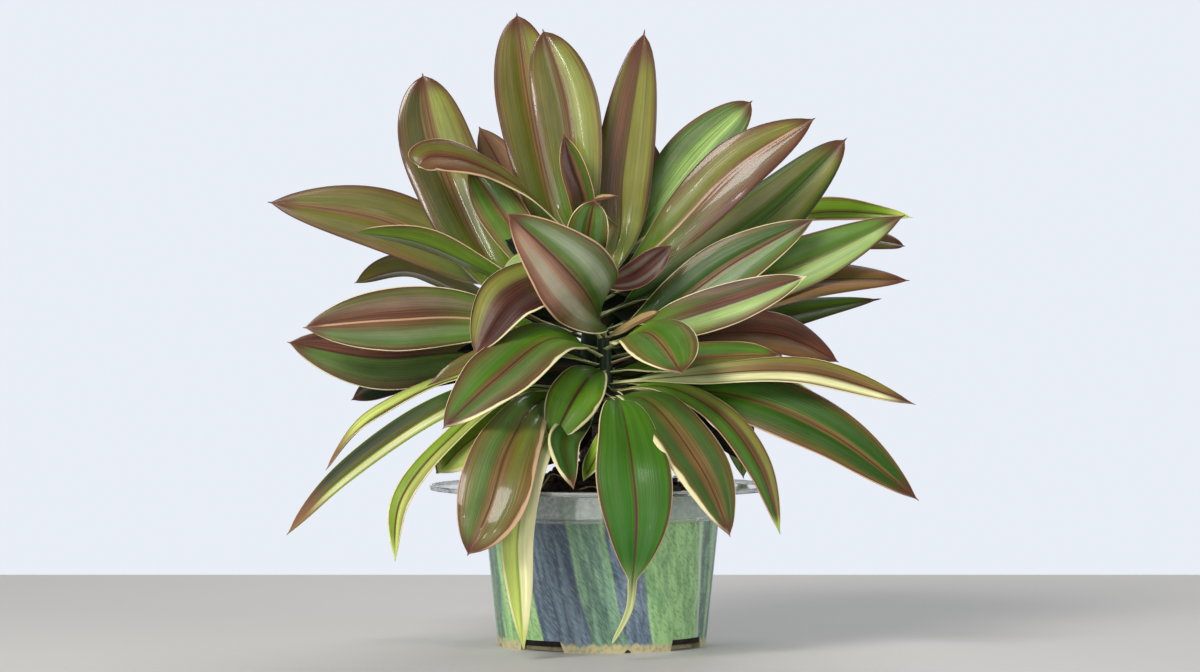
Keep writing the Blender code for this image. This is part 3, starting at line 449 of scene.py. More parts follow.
LOW_LEAVES = (
    # Right, from the top down
    Leaf(33, FRONT, FLAT, 168, ((36, 2, 184), (72, 0, 209), (117, -4, 234)),
         SHINY.but(left=DEEP_GREEN, foot=DEEP_GREEN, sheen=0.5), BROAD_LOW),
    Leaf(25, FRONT, FLAT, 163, ((36, -12, 176), (76, -22, 189), (111, -28, 202)),
         SPLIT.but(left=DARK_OLIVE, tip=CREAM, tip_from=0.93, margin=0.3, sheen=0.0),
         BROAD_LOW, wave=0.8),
    Leaf(32, FRONT_SKY, FLAT, 152, ((50, -4, 168), (95, -4, 170), (130, -6, 155)),
         BROWN.but(left=RED_BROWN, right=WARM_BROWN, foot=RED_BROWN, margin=0.1, brown=0.6), wave=0.9),
    Leaf(24, FRONT_SKY, FLAT, 148, ((50, -22, 157), (97, -26, 159)),
         STRIPED.but(left=GREEN, rim=CREAM, rim_right=1.0)),
    Leaf(21, FRONT_SKY, FLAT, 142, ((50, -34, 148), (110, -46, 150), (168, -54, 133)),
         SPLIT.but(left=LIGHT_OLIVE, right=PALE_YELLOW, foot=CREAM_GREEN, brown_tone=WARM_BROWN, band=0.4),
         wave=0.8),
    Leaf(20, FRONT, FLAT, 142, ((60, -8, 145), (120, -10, 136)),
         LIMY.but(left=BRIGHT_GREEN, right=BRIGHT_GREEN)),
    Leaf(37, FRONT_RIGHT, FLAT, 139, ((68, -32, 138), (121, -50, 118), (169, -62, 82)),
         DEEP.but(brown_tone=WARM_BROWN, margin=0.22, band=0.12), BROAD_LOW),
    Leaf(18, FRONT_RIGHT, FLAT, 136, ((32, -34, 142), (62, -50, 128), (84, -58, 99), (95, -62, 64)),
         SPLIT.but(left=LIGHT_OLIVE, right=GREEN, rim=BLUSH, brown=0.85, tip=YELLOW_GREEN, tip_from=0.9)),
    Leaf(36, FRONT_RIGHT, FLAT, 134, ((25, -52, 134), (52, -86, 100), (67, -100, 65)),
         DEEP.but(brown_tone=WARM_BROWN, rim=CREAM, rim_right=2.2, margin=0.25, band=0.3), BROAD_LOW),
    Leaf(40, FRONT_SKY, FLAT, 160, ((24, -48, 171), (42, -88, 150)),
         LEAFY.but(foot=LIME, rim=CREAM, rim_right=1.4, margin=0.25), BROAD_END),
    Leaf(6, FRONT, FOLDED, 166, ((18, -20, 177), (31, -30, 183)), DRY),
    Leaf(7, FRONT, FOLDED, 131, ((40, -24, 132), (58, -34, 118), (73, -42, 104)), BLACK_PAINTED_SHADE, BROAD_END, BLUNT),
    Leaf(12, FRONT, FLAT, 143, ((42, -2, 147), (70, -6, 136)), DARK_PAINTED_SHADE, BROAD_END, BLUNT),
    Leaf(6, FRONT, FOLDED, 127, ((26, -16, 118), (37, -24, 104), (42, -28, 92)), LIMY),
    # Middle
    Leaf(41, FRONT, FLAT, 132,
         ((9, -56, 134), (15, -92, 107), (18, -103, 76), (16, -104, 45), (14, -103, 27), (5, -100, 9)),
         DEEP.but(left=CLEAR_GREEN, right=CLEAR_GREEN, margin=0.1, tip=CREAM_GREEN, tip_from=0.6),
         BROAD_FOOT, POINTED, 0.31),
    Leaf(48, FRONT, FLAT, 166, ((-6, -34, 188), (-22, -50, 208), (-51, -58, 236)), BROWN_SAGE_PAINTED_SHEEN, BROAD_FOOT),
    Leaf(14, FRONT, FLAT, 170, ((-30, -12, 208), (-53, -14, 222)), BLACK_PAINTED_SHADE),
    Leaf(18, FRONT_SKY, FOLDED, 164, ((-24, -14, 196), (-42, -22, 208), (-54, -26, 198)), PALE),
    Leaf(40, FRONT_LEFT, FLAT, 162, ((-24, -26, 196), (-50, -44, 189), (-68, -54, 159)),
         SPLIT_BACK.but(left=MAROON, right=LIGHT_OLIVE, brown_tone=MAROON, rim_left=0.8)),
    Leaf(44, FRONT_LEFT, FLAT, 156, ((-26, -44, 168), (-56, -74, 147), (-84, -90, 121)),
         LEAFY.but(left=SAGE, brown_tone=RED_BROWN, rim=CREAM, rim_left=1.6, margin=0.36), BROAD_LOW),
    Leaf(39, FRONT, FLAT, 134, ((-32, -34, 135), (-49, -88, 112), (-59, -110, 80), (-70, -112, 56)),
         LEAFY.but(left=OLIVE, right=SAGE, rim=BLUSH, rim_left=1.8, band=0.22, margin=0.3, gloss=0.8),
         BROAD_END),
    # Painted light: its green is brighter than the leaf's own, to make up for the shade of the leaves above
    # it.
    Leaf(29, FRONT, FLAT, 150, ((-6, -36, 148), (-17, -54, 133), (-28, -60, 110)),
         DEEP.but(left=BRIGHT_GREEN, right=BRIGHT_GREEN, rim=CREAM, rim_left=1.3), BROAD_MIDDLE, SHARP),
    Leaf(20, FRONT, FOLDED, 136, ((-12, -40, 124), (-20, -70, 112), (-15, -98, 90)),
         DEEP.but(rim=CREAM, rim_right=1.6)),
    Leaf(14, FRONT_LEFT, FLAT, 130, ((4, -44, 121), (-2, -62, 107), (-10, -72, 93)), LIMY),
    Leaf(8, SKY, FOLDED, 142, ((4, -26, 138), (13, -36, 135)),
         DARK_PAINTED_SHADE.but(rim=CREAM, rim_left=0.6, rim_right=0.6)),
    Leaf(17, FRONT, FLAT, 129,
         ((-23, -46, 122), (-37, -92, 98), (-44, -100, 66), (-43, -97, 34), (-41, -94, 5)),
         LIMY.but(
             left=PALE_YELLOW, right=YELLOW_GREEN, foot=CREAM_GREEN, rib=LIME, brown=0.0, rim_left=2.4)),
    # Left, from the top down
    Leaf(38, FRONT, FLAT, 160, ((-65, -10, 178), (-115, -16, 178), (-163, -20, 174)),
         SPLIT_BACK.but(left=SAGE, right=SAGE, rib=BLUSH, band=0.52, lean=0.45, margin=0.12, sheen=0.5)),
    Leaf(13, FRONT_SKY, FOLDED, 152, ((-50, -34, 162), (-94, -44, 143)), STRIPED.but(foot=LIME)),
    Leaf(16, LEFT_SKY, FOLDED, 142, ((-70, -8, 148), (-125, -12, 124), (-151, -14, 96)),
         SPLIT.but(left=OLIVE, right=YELLOW_GREEN, brown_tone=WARM_BROWN, tip=ORANGE_BROWN, tip_from=0.7)),
    Leaf(22, LEFT_FRONT, FOLDED, 138, ((-50, -26, 142), (-92, -38, 126), (-139, -48, 93), (-169, -54, 63)),
         RIBBON),
    Leaf(15, LEFT_FRONT, FLAT, 136, ((-48, -34, 138), (-84, -54, 112), (-107, -64, 82), (-110, -68, 50)),
         LIMY.but(left=YELLOW_GREEN, brown_tone=WARM_BROWN, margin=0.3, brown=0.8, rim_left=0.5)),
    # Painted light: its left half's yellow green is brighter than the leaf's own, to make up for the shade of
    # the leaf above it.
    Leaf(28, FRONT, FLAT, 130, ((-44, -30, 128), (-70, -46, 114), (-88, -54, 96)),
         LIMY.but(left=YELLOW_GREEN, rim_left=2.0, rim_right=2.0), BROAD_END),
    # Short inner leaves that close the middle, near-black as painted shade
    inner(22, 150, (-22, -14, 152), (-44, -20, 148)),
    inner(22, 146, (24, 0, 148), (46, 4, 144)),
    inner(28, 132, (-19, -4, 122), (-36, -3, 98), widest=BROAD_MIDDLE),
    inner(22, 130, (16, 6, 122), (28, 12, 106)),
    inner(20, 160, (22, 4, 172), (38, 8, 180)),
    inner(22, 132, (-11, 7, 126), (-17, 10, 102)),
    inner(20, 131, (16, 4, 124), (19, 8, 103)),
)


def smooth_step(value):
    """0 below 0, 1 above 1 and an even curve between."""
    value = min(max(value, 0.0), 1.0)
    return value * value * (3.0 - 2.0 * value)


def spline_point(points, at):
    """A point on the smooth curve through the given points, with at running from 0 to 1."""
    spans = len(points) - 1
    span = min(int(at * spans), spans - 1)
    share = at * spans - span
    before = points[max(span - 1, 0)]
    start = points[span]
    end = points[span + 1]
    after = points[min(span + 2, spans)]
    bend = 2 * before - 5 * start + 4 * end - after
    swing = 3 * start - before - 3 * end + after
    return 0.5 * (2 * start + (end - before) * share + bend * share**2 + swing * share**3)


def heading(points, at, reach):
    """The curve's direction, from a little before a point on it to a little after."""
    ahead = spline_point(points, min(at + reach, 1.0))
    behind = spline_point(points, max(at - reach, 0.0))
    return (ahead - behind).normalized()


def half_width(at, leaf):
    """Half of the leaf's width: a narrow stalk, a long oval, and a fine spike or a narrow tail at its tip."""
    if at <= STALK_SHARE:
        return STALK_HALF_WIDTH
    share = min((at - STALK_SHARE) / (1.0 - STALK_SHARE - max(leaf.tail, SPIKE_SHARE)), 1.0)
    stalk = STALK_HALF_WIDTH * (1.0 - share)
    reach = share**leaf.widest
    oval = max(math.sin(math.pi * reach), 0.0) ** (FULLNESS if reach < 0.5 else leaf.fineness)
    if leaf.tail > 0.0:
        end = TAIL_HALF_WIDTH * min((1.0 - at) / leaf.tail, 1.0) ** 0.5
    else:
        end = SPIKE_HALF_WIDTH * min((1.0 - at) / SPIKE_SHARE, 1.0) * smooth_step(share * 2)
    return max(stalk + (leaf.width / 2 - stalk) * oval, end, TIP_HALF_WIDTH)


def blade_frames(points, facing):
    """For each station: its share of the length, its place, and the blade's side and upper directions."""
    points = [Vector(point) for point in points]
    away = points[-1] - points[0]
    away.z = 0.0
    away.normalize()
    root_up = UP - away
    frames = []
    for step in range(STATIONS + 1):
        at = step / STATIONS
        along = heading(points, at, BLADE_REACH)
        up = (root_up - along * root_up.dot(along)).normalized()
        wanted = Vector(facing)
        wanted = (wanted - along * wanted.dot(along)).normalized()
        turn = math.atan2(up.cross(wanted).dot(along), up.dot(wanted))
        turn *= smooth_step((at - TWIST_FROM) / (TWIST_TO - TWIST_FROM))
        up = Matrix.Rotation(turn, 3, along) @ up
        frames.append((at, spline_point(points, at), along.cross(up), up))
    return frames


def root_point(leaf, place):
    """Where a leaf's stalk starts: just past the shoot's middle line, so that it is sunk well in."""
    away = Vector((leaf.points[0][0] - place[0], leaf.points[0][1] - place[1])).normalized()
    spot = Vector(place) - away * ROOT_SINK
    return (spot.x, spot.y, leaf.root)


def add_object(name, mesh, material):
    """An object for a mesh, in the scene, with its material."""
    mesh.materials.append(material)
    thing = bpy.data.objects.new(name, mesh)
    bpy.context.scene.collection.objects.link(thing)
    return thing


class Shell:
    """Gathers closed tubes as points and faces."""

    def __init__(self):
        self.points = []
        self.faces = []

    def add_rings(self, first, count, size):
        """The faces between a run of closed rings of points, with both ends closed."""
        for ring in range(count - 1):
            near = first + ring * size
            far = near + size
            for step in range(size):
                following = (step + 1) % size
                self.faces.append((near + step, near + following, far + following, far + step))
        last = first + (count - 1) * size
        self.faces.append(tuple(first + step for step in reversed(range(size))))
        self.faces.append(tuple(last + step for step in range(size)))

    def make(self, name, material):
        """The finished object."""
        mesh = bpy.data.meshes.new(name)
        mesh.from_pydata(self.points, [], self.faces)
        mesh.shade_smooth()
        return add_object(name, mesh, material)


class Foliage(Shell):
    """Gathers the blades of one leafy head, with each point's colouring."""

    VECTORS = ("blade", "marks", "rims", "mood", "finish")
    COLOURS = ("left", "right", "foot", "under", "brown_tone", "rib", "rim", "tip")

    def __init__(self):
        super().__init__()
        self.values = {name: [] for name in self.VECTORS + self.COLOURS}

    def add_point(self, point, across, at, half, upper, look, seed):
        """One point of a blade, with what its material reads there."""
        self.points.append(point * MM)
        self.values["blade"].extend((across, at, half))
        self.values["marks"].extend((look.brown, look.band, look.margin))
        self.values["rims"].extend((look.rim_left, look.rim_right, seed))
        self.values["mood"].extend((look.lean, look.stripes, upper))
        # The finish carries the strength of the painted reflection, the gloss and where the tip starts.
        self.values["finish"].extend((look.sheen, look.gloss, look.tip_from))
        for name in self.COLOURS:
            self.values[name].extend((*getattr(look, name), 1.0))

    def add_leaf(self, leaf, place, seed):
        """One blade with a creased midrib, arched halves, waved edges and rounded rims."""
        first = len(self.points)
        points = (root_point(leaf, place), *leaf.points)
        cycles = FEWEST_WAVES + MORE_WAVES * seed
        for at, middle, side, up in blade_frames(points, leaf.facing):
            half = half_width(at, leaf)
            opening = smooth_step(at / (STALK_SHARE * 2))
            steep = max(leaf.fold, STALK_FOLD + (leaf.fold - STALK_FOLD) * opening)
            lean = 1.0 / math.sqrt(1.0 + steep * steep)
            thin = min(half / THIN_UNDER, 1.0)
            body = smooth_step((at - STALK_SHARE) / WAVE_FADE_IN) * smooth_step((1.0 - at) / WAVE_FADE_OUT)
            spots = []
            for across in ACROSS:
                far = abs(across)
                crease = math.sqrt(across * across + CREASE_ROUND**2) - CREASE_ROUND
                arch = BLADE_ARCH * math.sin(math.pi * far)
                rise = half * lean * (steep * crease - EDGE_DROOP * far * far + arch)
                lag = WAVE_LAG if across > 0 else 0.0
                rise += leaf.wave * body * far**2 * math.sin(math.tau * (at * cycles + seed + lag))
                spots.append(middle + side * (half * lean * across) + up * rise)
            thicks = [(BLADE_THICK + (EDGE_THICK - BLADE_THICK) * abs(across)) * thin for across in ACROSS]
            blade = [(across, spot, up * (thick / 2)) for across, spot, thick in zip(ACROSS, spots, thicks)]
            for across, spot, lift in blade:
                self.add_point(spot + lift, across, at, half, 1.0, leaf.look, seed)
            self.add_point(spots[-1] + side * (RIM_ROUND * thin), 1.0, at, half, 0.5, leaf.look, seed)
            for across, spot, lift in reversed(blade):
                self.add_point(spot - lift, across, at, half, 0.0, leaf.look, seed)
            self.add_point(spots[0] - side * (RIM_ROUND * thin), -1.0, at, half, 0.5, leaf.look, seed)
        self.add_rings(first, STATIONS + 1, 2 * len(ACROSS) + 2)

    def add_shoot(self, place, low, high):
        """The green shoot that carries the leaves, near-black as painted shade, with a faint swelling at each
        leaf's root.
        """
        first = len(self.points)
        for level in range(SHOOT_LEVELS + 1):
            share = level / SHOOT_LEVELS
            radius = SHOOT_FOOT_RADIUS + (SHOOT_TOP_RADIUS - SHOOT_FOOT_RADIUS) * share
            radius += SHOOT_SWELL * math.sin(share * math.tau * SHOOT_RINGS)
            height = low + (high - low) * share
            for step in range(SHOOT_SIDES):
                turn = math.tau * step / SHOOT_SIDES
                x = place[0] + radius * math.cos(turn)
                y = place[1] + radius * math.sin(turn)
                spot = Vector((x, y, height))
                # The shoot takes the near-black of the inner leaves, a painted shade.
                self.add_point(spot, across=0.5, at=0.1, half=radius, upper=1.0, look=INNER_PAINTED_SHADE, seed=0.5)
        self.add_rings(first, SHOOT_LEVELS + 1, SHOOT_SIDES)

    def make(self, name, material):
        """The finished object, with its colouring on its points."""
        thing = super().make(name, material)
        attributes = thing.data.attributes
        for kind in self.VECTORS:
            attributes.new(kind, "FLOAT_VECTOR", "POINT").data.foreach_set("vector", self.values[kind])
        for kind in self.COLOURS:
            attributes.new(kind, "FLOAT_COLOR", "POINT").data.foreach_set("color", self.values[kind])
        return thing


class Graph:
    """A node tree with a short call for each kind of node."""

    def __init__(self, tree):
        self.tree = tree

    def plug(self, socket, value):
        """Links an output to a socket, or sets the socket's value."""
        if isinstance(value, bpy.types.NodeSocket):
            self.tree.links.new(value, socket)
        elif socket.type == "RGBA":
            socket.default_value = (*value, 1.0)
        else:
            socket.default_value = value

    def add(self, kind, values=(), **settings):
        """A node with its settings, and with its first sockets filled."""
        node = self.tree.nodes.new("ShaderNode" + kind)
        for name, setting in settings.items():
            setattr(node, name, setting)
        for socket, value in zip(node.inputs, values):
            self.plug(socket, value)
        return node

    def math(self, operation, *values):
        """A calculation with one to three values."""
        return self.add("Math", values, operation=operation).outputs[0]

    def times(self, first, second):
        """One value times another."""
        return self.math("MULTIPLY", first, second)

    def line(self, value, slope, start):
        """A value times a slope, from a start."""
        return self.math("MULTIPLY_ADD", value, slope, start)

    def smooth(self, value, low, high, start=0.0, end=1.0):
        """Goes evenly from start to end as the value goes from low to high."""
        values = (value, low, high, start, end)
        return self.add("MapRange", values, interpolation_type="SMOOTHSTEP").outputs[0]

    def mix(self, share, first, second, blend="MIX"):
        """A mix of two colours."""
        node = self.add("Mix", (share,), data_type="RGBA", blend_type=blend)
        self.plug(node.inputs[6], first)
        self.plug(node.inputs[7], second)
        return node.outputs[2]

    def tint(self, share, colour, factor):
        """A colour that is multiplied by a factor, as far as the share says."""
        return self.mix(share, colour, factor, "MULTIPLY")

    def join(self, x, y, z):
        """A vector from three values."""
        return self.add("CombineXYZ", (x, y, z)).outputs[0]

    def split(self, vector):
        """The three values of a vector."""
        return tuple(self.add("SeparateXYZ", (vector,)).outputs)

    def vector(self, name):
        """A point's vector from the mesh."""
        return self.add("Attribute", attribute_name=name).outputs["Vector"]

    def colour(self, name):
        """A point's colour from the mesh."""
        return self.add("Attribute", attribute_name=name).outputs["Color"]

    def place(self, space="Object"):
        """The place on the object, in metres, or the same in another space."""
        return self.add("TexCoord").outputs[space]

    def stretch(self, vector, scale):
        """A vector with each of its values scaled."""
        return self.add("VectorMath", (vector, scale), operation="MULTIPLY").outputs[0]

    def noise(self, vector, scale=1.0, detail=3.0):
        """Soft noise from 0 to 1."""
        node = self.add("TexNoise")
        self.plug(node.inputs["Vector"], vector)
        self.plug(node.inputs["Scale"], scale)
        self.plug(node.inputs["Detail"], detail)
        return node.outputs["Fac"]


class Surface(Graph):
    """A Principled material."""

    def __init__(self, name):
        self.material = bpy.data.materials.new(name)
        self.material.use_nodes = True
        super().__init__(self.material.node_tree)
        self.shader = self.tree.nodes["Principled BSDF"]

    def set(self, name, value):
        """Sets or links a socket of the shader."""
        self.plug(self.shader.inputs[name], value)

    def bump(self, height, distance, strength):
        """Bumps of a height in metres on the shader."""
        node = self.add("Bump")
        self.plug(node.inputs["Height"], height)
        self.plug(node.inputs["Distance"], distance)
        self.plug(node.inputs["Strength"], strength)
        self.set("Normal", node.outputs[0])

    def finish(self, colour, roughness):
        """Sends the colour and roughness to the shader."""
        self.set("Base Color", colour)
        self.set("Roughness", roughness)
        return self.material


class LeafSurface(Surface):
    """The leaf material, made in steps that share what each point of a blade carries."""

    def __init__(self):
        super().__init__("ti_leaf")
        self.across, self.along, self.half = self.split(self.vector("blade"))
        self.brown, self.band, self.margin = self.split(self.vector("marks"))
        self.rim_left, self.rim_right, self.seed = self.split(self.vector("rims"))
        self.lean, self.stripes, self.upper = self.split(self.vector("mood"))
        # The finish's first value is the strength of the painted reflection.
        self.sheen, self.gloss, self.tip_from = self.split(self.vector("finish"))
        self.away = self.math("ABSOLUTE", self.across)
        self.side = self.smooth(self.across, -0.1, 0.1)
        self.streak = self.grain(8.0, 1.6, 3.0)
        self.vein = self.grain(22.0, 2.0, 7.0, 2.0)
        self.blotch = self.grain(1.2, 5.0, 11.0)
        self.loose = self.math("SUBTRACT", self.streak, 0.5)
        self.border = self.line(self.loose, 0.25, self.math("SUBTRACT", 1.0, self.away))
        self.tip_mask = self.smooth(self.along, self.tip_from, self.line(self.tip_from, 0.4, 0.6))

    def grain(self, wide, long, depth, detail=3.0):
        """Noise with so many cells over a half's width and over the length."""
        x = self.line(self.across, wide, self.times(self.seed, 40.0))
        return self.noise(self.join(x, self.times(self.along, long), depth), detail=detail)

    def green(self):
        """The two halves and the foot of the upper side, with soft paler patches."""
        face = self.mix(self.side, self.colour("left"), self.colour("right"))
        face = self.mix(self.smooth(self.along, 0.62, 0.15), face, self.colour("foot"))
        return self.tint(self.smooth(self.grain(2.4, 1.3, 0.0), 0.48, 0.68, 0.0, 0.6), face, SOFT_LIGHT)

    def brown_mask(self):
        """Where the midrib band, the margins and the stripes are brown."""
        centre = self.math("ABSOLUTE", self.line(self.lean, -0.5, self.across))
        centre = self.line(self.loose, 0.3, centre)
        band = self.smooth(centre, self.times(self.band, 1.7), self.times(self.band, 0.4))
        margin = self.smooth(self.border, self.times(self.margin, 2.0), 0.0)
        stripe = self.times(self.smooth(self.streak, 0.52, 0.66), self.stripes)
        mask = self.math("MAXIMUM", self.math("MAXIMUM", band, margin), stripe)
        grown = self.smooth(self.along, 0.15, 0.6, 0.08, 1.0)
        return self.times(mask, self.times(self.brown, grown))

    def add_sheen(self, face):
        """A painted highlight: a soft pale reflection painted along the middle of each half."""
        middle = self.line(self.loose, 0.3, self.math("SUBTRACT", self.away, 0.5))
        light = self.smooth(self.math("ABSOLUTE", middle), 0.3, 0.05)
        from_middle = self.math("ABSOLUTE", self.math("SUBTRACT", self.along, 0.58))
        light = self.times(light, self.smooth(from_middle, 0.4, 0.1))
        light = self.times(light, self.times(self.sheen, 0.6))
        return self.mix(light, face, self.mix(0.6, face, PAINTED_SHEEN_TONE))

    def underside(self, brown_mask, tone):
        """The lower side, with faint streaks and a little of the brown."""
        under = self.tint(self.smooth(self.streak, 0.35, 0.7, 0.0, 0.45), self.colour("under"), UNDER_SHADE)
        return self.mix(self.times(brown_mask, 0.55), under, tone)

    def add_marks_and_painted_edge_shade(self, face):
        """Darker blotches, painted shade along the edges and fine pale veins."""
        face = self.tint(self.smooth(self.blotch, 0.3, 0.7, 0.0, 0.6), face, BLOTCH_SHADE)
        # Painted shade: the colour darkens, a little towards brown, near the edges.
        face = self.tint(self.smooth(self.border, 0.16, 0.0, 0.0, 0.7), face, EDGE_SHADE)
        return self.tint(self.smooth(self.vein, 0.42, 0.62, 0.0, 0.35), face, VEIN_LIGHT)

    def add_midrib(self, face):
        """A fine midrib line that fades towards the tip."""
        mask = self.smooth(self.times(self.away, self.half), 0.75, 0.3, 0.0, 0.7)
        mask = self.times(mask, self.smooth(self.tip_mask, 0.0, 1.0, 1.0, 0.2))
        return self.mix(mask, face, self.colour("rib"))

    def add_rims(self, face):
        """Rims of an uneven width, cream at the leaf's foot."""
        wider = self.math("SUBTRACT", self.rim_right, self.rim_left)
        width = self.line(self.side, wider, self.rim_left)
        width = self.times(width, self.smooth(self.blotch, 0.3, 0.7, 0.5, 1.5))
        inset = self.times(self.math("SUBTRACT", 1.0, self.away), self.half)
        mask = self.smooth(inset, self.times(width, 1.3), self.times(width, 0.6))
        rim = self.mix(self.smooth(self.along, 0.5, 0.1, 0.0, 0.8), self.colour("rim"), CREAM)
        rim = self.mix(self.times(self.tip_mask, 0.8), rim, self.colour("tip"))
        return self.mix(self.times(mask, 0.92), face, rim)


def leaf_material():
    """A ti leaf: green halves with soft stripes, brown midrib band and margins, pale rims and fine veins."""
    leaf = LeafSurface()
    tone = leaf.tint(leaf.smooth(leaf.vein, 0.35, 0.65), leaf.colour("brown_tone"), BROWN_LIGHT)
    brown_mask = leaf.brown_mask()
    # The pale reflection along the middle of each half is painted into the colour.
    face = leaf.add_sheen(leaf.mix(brown_mask, leaf.green(), tone))
    face = leaf.mix(leaf.times(leaf.tip_mask, 0.9), face, leaf.colour("tip"))
    face = leaf.mix(leaf.upper, leaf.underside(brown_mask, tone), face)
    # The blotches and veins are the leaf's own; the darker edges are painted shade.
    face = leaf.add_rims(leaf.add_midrib(leaf.add_marks_and_painted_edge_shade(face)))

    ridges = leaf.line(leaf.streak, 1.2, leaf.vein)
    leaf.bump(leaf.times(ridges, leaf.smooth(leaf.half, 0.0, 22.0)), 0.0005, 0.6)
    leaf.set("Coat Weight", leaf.times(leaf.math("POWER", leaf.gloss, 3.0), 0.6))
    leaf.set("Coat Roughness", 0.1)
    leaf.set("Specular IOR Level", 0.22)
    roughness = leaf.line(leaf.gloss, -0.26, 0.54)
    return leaf.finish(face, leaf.line(leaf.loose, 0.2, roughness))


def zone_mask(graph, x, y, zones, drift):
    """1 in some upright stripes of the pot, and 0 between them."""
    mask = 0.0
    for angle, half in zones:
        turn = math.radians(angle)
        aside = graph.line(x, -math.sin(turn), graph.times(y, math.cos(turn)))
        aside = graph.line(graph.math("SUBTRACT", drift, 0.5), MARBLE_WANDER, aside)
        ahead = graph.line(x, math.cos(turn), graph.times(y, math.sin(turn)))
        inside = graph.smooth(graph.math("ABSOLUTE", aside), (half + 1.5) * MM, (half - 1.0) * MM)
        inside = graph.times(inside, graph.smooth(ahead, 0.0, 0.02))
        mask = graph.math("MAXIMUM", mask, inside)
    return mask


def pot_material():
    """Marbled recycled plastic: slanting slate and green streaks, a paler rim band and a beige foot."""
    graph = Surface("marbled_plastic")
    place = graph.place()
    x, y, z = graph.split(place)
    slanted_x = graph.line(z, MARBLE_SLANT, graph.math("SUBTRACT", x, MARBLE_SHIFT))
    slanted = graph.join(slanted_x, y, z)
    drift = graph.noise(graph.stretch(slanted, (60.0, 60.0, 9.0)), detail=4.0)
    streak = graph.noise(graph.stretch(slanted, (260.0, 260.0, 22.0)), detail=4.0)
    scratch_x = graph.line(z, SCRATCH_SLANT, x)
    scratch_z = graph.line(x, -SCRATCH_SLANT, z)
    scratched = graph.stretch(graph.join(scratch_x, y, scratch_z), (900.0, 500.0, 200.0))
    scratch = graph.noise(scratched, detail=2.0)
    fleck = graph.noise(place, 420.0)

    lighter = graph.smooth(streak, 0.35, 0.68)
    green = graph.mix(lighter, *GREEN_TONES)
    mossy = graph.mix(lighter, *MOSSY_TONES)
    slate = graph.mix(graph.smooth(streak, 0.35, 0.7), *SLATE_TONES)
    face = graph.mix(zone_mask(graph, slanted_x, y, MURKY_ZONES, drift), green, mossy)
    face = graph.mix(zone_mask(graph, slanted_x, y, SLATE_ZONES, drift), face, slate)
    face = graph.tint(graph.smooth(scratch, 0.52, 0.64, 0.0, 0.8), face, SCRATCH_SHADE)
    face = graph.mix(graph.smooth(scratch, 0.44, 0.32, 0.0, 0.25), face, SCRATCH_LIGHT)
    seam = zone_mask(graph, slanted_x, y, SEAM_ZONES, 0.5)
    face = graph.mix(graph.times(seam, 0.7), face, SEAM_COLOUR)
    pale = graph.mix(graph.smooth(fleck, 0.4, 0.65, 0.45, 0.85), face, RIM_COLOUR)
    face = graph.mix(graph.smooth(z, *RIM_BAND), face, pale)
    foot = graph.line(graph.math("SUBTRACT", streak, 0.5), BEIGE_WANDER, z)
    beige = graph.mix(graph.smooth(fleck, 0.4, 0.7), *BEIGE_TONES)
    face = graph.mix(graph.smooth(foot, *BEIGE_FOOT), face, beige)

    graph.bump(graph.line(scratch, 0.5, streak), 0.00025, 0.5)
    graph.set("Coat Weight", 0.2)
    graph.set("Coat Roughness", 0.2)
    return graph.finish(face, graph.smooth(streak, 0.2, 0.8, 0.34, 0.5))


def clear_material():
    """Clear plastic, a little milky, with faint drawing lines."""
    graph = Surface("clear_plastic")
    lines = graph.noise(graph.stretch(graph.place(), (30.0, 30.0, 400.0)))
    graph.set("Transmission Weight", 0.86)
    graph.set("IOR", 1.45)
    graph.bump(lines, 0.0001, 0.3)
    return graph.finish(graph.mix(lines, *CLEAR_TONES), graph.smooth(lines, 0.3, 0.7, 0.05, 0.12))


def mix_material():
    """Dark potting mix with browner bits."""
    graph = Surface("dark_mix")
    place = graph.place()
    grain = graph.noise(place, 420.0, 5.0)
    colour = graph.mix(graph.smooth(graph.noise(place, 90.0), 0.35, 0.7), *MIX_TONES)
    colour = graph.mix(graph.smooth(grain, 0.62, 0.75, 0.0, 0.6), colour, MIX_BITS)
    graph.bump(grain, 0.0012, 1.0)
    return graph.finish(colour, graph.smooth(grain, 0.3, 0.7, 0.75, 0.95))


def straw_material():
    """Dry straw with fine fibres."""
    graph = Surface("dry_straw")
    fibre = graph.noise(graph.place(), 900.0, 4.0)
    graph.bump(fibre, 0.0003, 0.8)
    colour = graph.mix(graph.smooth(fibre, 0.35, 0.65), *STRAW_TONES)
    return graph.finish(colour, graph.smooth(fibre, 0.3, 0.7, 0.6, 0.8))


def bark_material():
    """Grey-brown bark with rings of leaf scars."""
    graph = Surface("cane_bark")
    place = graph.place()
    rough = graph.noise(graph.stretch(place, (260.0, 260.0, 900.0)), detail=4.0)
    patch = graph.noise(place, 140.0)
    colour = graph.mix(graph.smooth(rough, 0.35, 0.65), *BARK_TONES)
    colour = graph.mix(graph.smooth(patch, 0.45, 0.7, 0.0, 0.6), colour, BARK_PATCH)
    graph.bump(rough, 0.0008, 0.9)
    return graph.finish(colour, graph.smooth(patch, 0.3, 0.7, 0.65, 0.9))


def table_material():
    """A plain pale surface with a very faint grain."""
    graph = Surface("pale_table")
    shade = tuple(value * TABLE_SHADE for value in TABLE_COLOUR)
    return graph.finish(graph.mix(graph.noise(graph.place(), 40.0, 4.0), shade, TABLE_COLOUR), 0.6)


def ring_spots(reach):
    """Places all round the middle of the mix."""
    turns = [math.tau * step / MIX_SIDES for step in range(MIX_SIDES)]
    return [Vector((reach * math.cos(turn), reach * math.sin(turn), 0.0)) for turn in turns]


def mound_height(spot, share, top):
    """The height of the broken surface of the mix."""
    height = top - MOUND_FALL + MOUND_FALL * math.cos(min(share, 1.0) * math.pi / 2)
    rough = sum(noise.noise(spot * fineness) * depth for fineness, depth in MOUND_BUMPS)
    return height - MOUND_SINK + rough * (1.0 - EDGE_CALM * share**EDGE_CALM_POWER)


